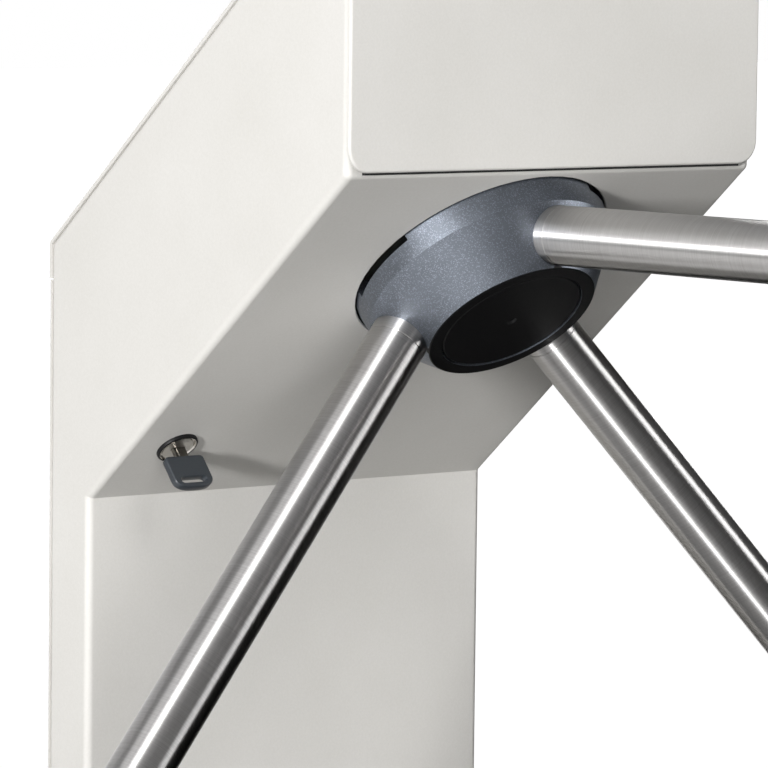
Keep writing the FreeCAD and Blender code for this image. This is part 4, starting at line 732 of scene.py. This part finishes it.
# pale floor: white to the eye and to shiny surfaces far off, and lower near the part so that its shadow shows
floorSetup = {
    "size": 60,
    "dropMm": 0.5,
    "paint": "8f8e8c",
    "bounce": "262626",
    "near": 0.5,
    "far": 4.5,
    "nearStrength": 0.62,
    "farStrength": 1.0,
}
headMiddle = Vector((0.05, 0, 0.85))


def seenRay(tree):
    rays = addNode(tree, "ShaderNodeLightPath")
    direct = addNode(tree, "ShaderNodeMath",
                     {0: rays.outputs["Is Camera Ray"], 1: rays.outputs["Is Glossy Ray"]},
                     operation="MAXIMUM")
    seen = addNode(tree, "ShaderNodeMath", {0: direct.outputs[0], 1: rays.outputs["Is Transmission Ray"]},
                   operation="MAXIMUM")
    return seen.outputs[0]


floorMesh = bpy.data.meshes.new("studioFloor")
shape = bmesh.new()
bmesh.ops.create_grid(shape, x_segments=2, y_segments=2, size=floorSetup["size"] / 2)
shape.to_mesh(floorMesh)
shape.free()
floor = bpy.data.objects.new("studioFloor", floorMesh)
floor.location.z = cadLow.z - floorSetup["dropMm"] * mm
scene.collection.objects.link(floor)
floorPaint, tree, shader, place = newMaterial("painted studio floor", Roughness=0.8, Specular_IOR_Level=0.1)
seen = seenRay(tree)
paint = addNode(tree, "ShaderNodeMix",
                {mixShare: seen, mixFirst: fromHex(floorSetup["bounce"]),
                 mixSecond: fromHex(floorSetup["paint"])}, data_type="RGBA")
tree.links.new(paint.outputs[mixResult], shader.inputs["Base Color"])
reach = addNode(tree, "ShaderNodeVectorMath", {0: place}, operation="LENGTH")
glow = addNode(tree, "ShaderNodeMapRange",
               {"Value": reach.outputs["Value"], "From Min": floorSetup["near"],
                "From Max": floorSetup["far"], "To Min": floorSetup["nearStrength"],
                "To Max": floorSetup["farStrength"]}, interpolation_type="SMOOTHSTEP")
strength = addNode(tree, "ShaderNodeMath", {0: glow.outputs["Result"], 1: seen}, operation="MULTIPLY")
shader.inputs["Emission Color"].default_value = (1, 1, 1, 1)
tree.links.new(strength.outputs[0], shader.inputs["Emission Strength"])
floorMesh.materials.append(floorPaint)
floor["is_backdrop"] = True

# soft studio light: a box at the camera's left, level with the head, two broad fills in front,
# weak ones above and behind
lampSetup = {
    "keyLamp": {"azimuth": -66, "elevation": 3, "distance": 6.0, "size": 0.6, "watts": 340, "shine": True},
    "frontLamp": {"azimuth": -35, "elevation": 0, "distance": 4.0, "size": 2.4, "watts": 82, "shine": False},
    "highLamp": {"azimuth": -10, "elevation": 36, "distance": 4.0, "size": 1.6, "watts": 42, "shine": False},
    "topLamp": {"azimuth": -150, "elevation": 78, "distance": 2.4, "size": 1.6, "watts": 24, "shine": False},
    "rearLamp": {"azimuth": 149, "elevation": 27, "distance": 2.8, "size": 1.4, "watts": 80, "shine": True},
}


def directionAt(azimuth, elevation):
    turn, lift = math.radians(azimuth), math.radians(elevation)
    return Vector((math.cos(lift) * math.cos(turn), math.cos(lift) * math.sin(turn), math.sin(lift)))


for name, lamp in lampSetup.items():
    data = bpy.data.lights.new(name, "AREA")
    data.size = lamp["size"]
    data.energy = lamp["watts"]
    light = bpy.data.objects.new(name, data)
    towards = directionAt(lamp["azimuth"], lamp["elevation"])
    light.location = headMiddle + towards * lamp["distance"]
    light.rotation_mode = "QUATERNION"
    light.rotation_quaternion = towards.to_track_quat("Z", "Y")
    light.visible_camera = False
    light.visible_glossy = lamp["shine"]
    scene.collection.objects.link(light)

# cards round the part, seen only in its reflections: the grey and black ones give metal its mid greys
# and dark edges, the bright ones its streaks
cardSetup = {
    "radius": 3.6,
    "height": 3.6,
    "steps": 48,
    "tones": [(-170, 0.2), (-120, 0.25), (-90, 0.5), (-75, 0.9), (-55, 0.65), (-40, 0.4), (-20, 0.18),
              (0, 0.1), (36, 0.06), (52, 0.01), (140, 0.0)],
    "ceiling": {"tones": [(-3.6, 0.5), (-2.2, 0.5), (-1.2, 0.62), (-0.2, 0.95), (0.6, 1.2), (1.4, 0.8),
                          (2.4, 0.5), (3.6, 0.3)],
                "farShare": 0.17},
    "bright": {
        "leftCard": {"azimuth": -138, "distance": 3.0, "width": 0.9, "span": (0.5, 3.0), "tone": (0.7, 0.4)},
        "highCard": {"azimuth": -92, "distance": 3.2, "width": 1.2, "span": (1.15, 3.4), "tone": (3.2, 1.2)},
        "streakCard": {"azimuth": 55, "distance": 3.0, "width": 0.85, "span": (0.7, 1.9),
                       "tone": (7.5, 7.5)},
        "boxCard": {"azimuth": -67, "distance": 2.8, "width": 0.4, "span": (1.0, 3.3), "tone": (13.0, 4.0)},
    },
    "flag": {"low": (-0.8, -0.3), "high": (2.0, 3.0), "height": 0.2},
}


def studioCard(name, corners, faces, tones):
    mesh = bpy.data.meshes.new(name)
    mesh.from_pydata(corners, [], faces)
    mesh.update()
    layer = mesh.color_attributes.new("tone", "FLOAT_COLOR", "POINT")
    for entry, tone in zip(layer.data, tones):
        entry.color = (tone, tone, tone, 1)
    card = bpy.data.objects.new(name, mesh)
    scene.collection.objects.link(card)
    material, tree, shader = newMaterial(name + " paint", Roughness=1.0, Specular_IOR_Level=0.0)[:3]
    shader.inputs["Base Color"].default_value = (0, 0, 0, 1)
    shader.inputs["Emission Strength"].default_value = 1.0
    painted = addNode(tree, "ShaderNodeVertexColor", layer_name="tone")
    tree.links.new(painted.outputs["Color"], shader.inputs["Emission Color"])
    mesh.materials.append(material)
    card.visible_camera = False
    card.visible_diffuse = False
    card.visible_shadow = False
    card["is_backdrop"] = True


def toneAt(degrees):
    knots = cardSetup["tones"]
    for (startAngle, startTone), (endAngle, endTone) in zip(knots, knots[1:]):
        if degrees <= endAngle:
            share = (degrees - startAngle) / (endAngle - startAngle)
            return startTone + (endTone - startTone) * share
    return knots[-1][1]


def stripFaces(count):
    return [(2 * i, 2 * i + 2, 2 * i + 3, 2 * i + 1) for i in range(count)]


corners, tones = [], []
firstAngle, lastAngle = cardSetup["tones"][0][0], cardSetup["tones"][-1][0]
for step in range(cardSetup["steps"] + 1):
    degrees = firstAngle + (lastAngle - firstAngle) * step / cardSetup["steps"]
    foot = directionAt(degrees, 0) * cardSetup["radius"]
    for height in (0.0, cardSetup["height"]):
        corners.append((foot.x, foot.y, height))
        tones.append(toneAt(degrees))
studioCard("roundCard", corners, stripFaces(cardSetup["steps"]), tones)
span, top = cardSetup["radius"], cardSetup["height"]
corners, tones = [], []
for place, tone in cardSetup["ceiling"]["tones"]:
    corners += [(place, -span, top), (place, span, top)]
    tones += [tone, tone * cardSetup["ceiling"]["farShare"]]
studioCard("ceilingCard", corners, stripFaces(len(cardSetup["ceiling"]["tones"]) - 1), tones)
rise = Vector((0, 0, 1))
square = [(0, 1, 2, 3)]
for name, bright in cardSetup["bright"].items():
    outward = directionAt(bright["azimuth"], 0)
    foot = outward * bright["distance"]
    aside = outward.cross(rise) * bright["width"] / 2
    low, high = (rise * height for height in bright["span"])
    lowTone, highTone = bright["tone"]
    corners = [foot - aside + low, foot + aside + low, foot + aside + high, foot - aside + high]
    studioCard(name, corners, square, [lowTone, lowTone, highTone, highTone])
flag = cardSetup["flag"]
(left, near), (right, far) = flag["low"], flag["high"]
outline = [(left, near), (right, near), (right, far), (left, far)]
studioCard("floorFlag", [(x, y, flag["height"]) for x, y in outline], square, [0.0] * len(outline))

# world: a weak even fill, white where the camera or a shiny surface looks into it
worldSetup = {"fill": 0.05}
world = bpy.data.worlds.new("studioWorld")
world.use_nodes = True
scene.world = world
tree = world.node_tree
fill = addNode(tree, "ShaderNodeMapRange",
               {"Value": seenRay(tree), "To Min": worldSetup["fill"], "To Max": 1.0})
tree.links.new(fill.outputs["Result"], tree.nodes["Background"].inputs["Strength"])
tree.nodes["Background"].inputs["Color"].default_value = (1, 1, 1, 1)
print("studio set")

low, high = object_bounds()
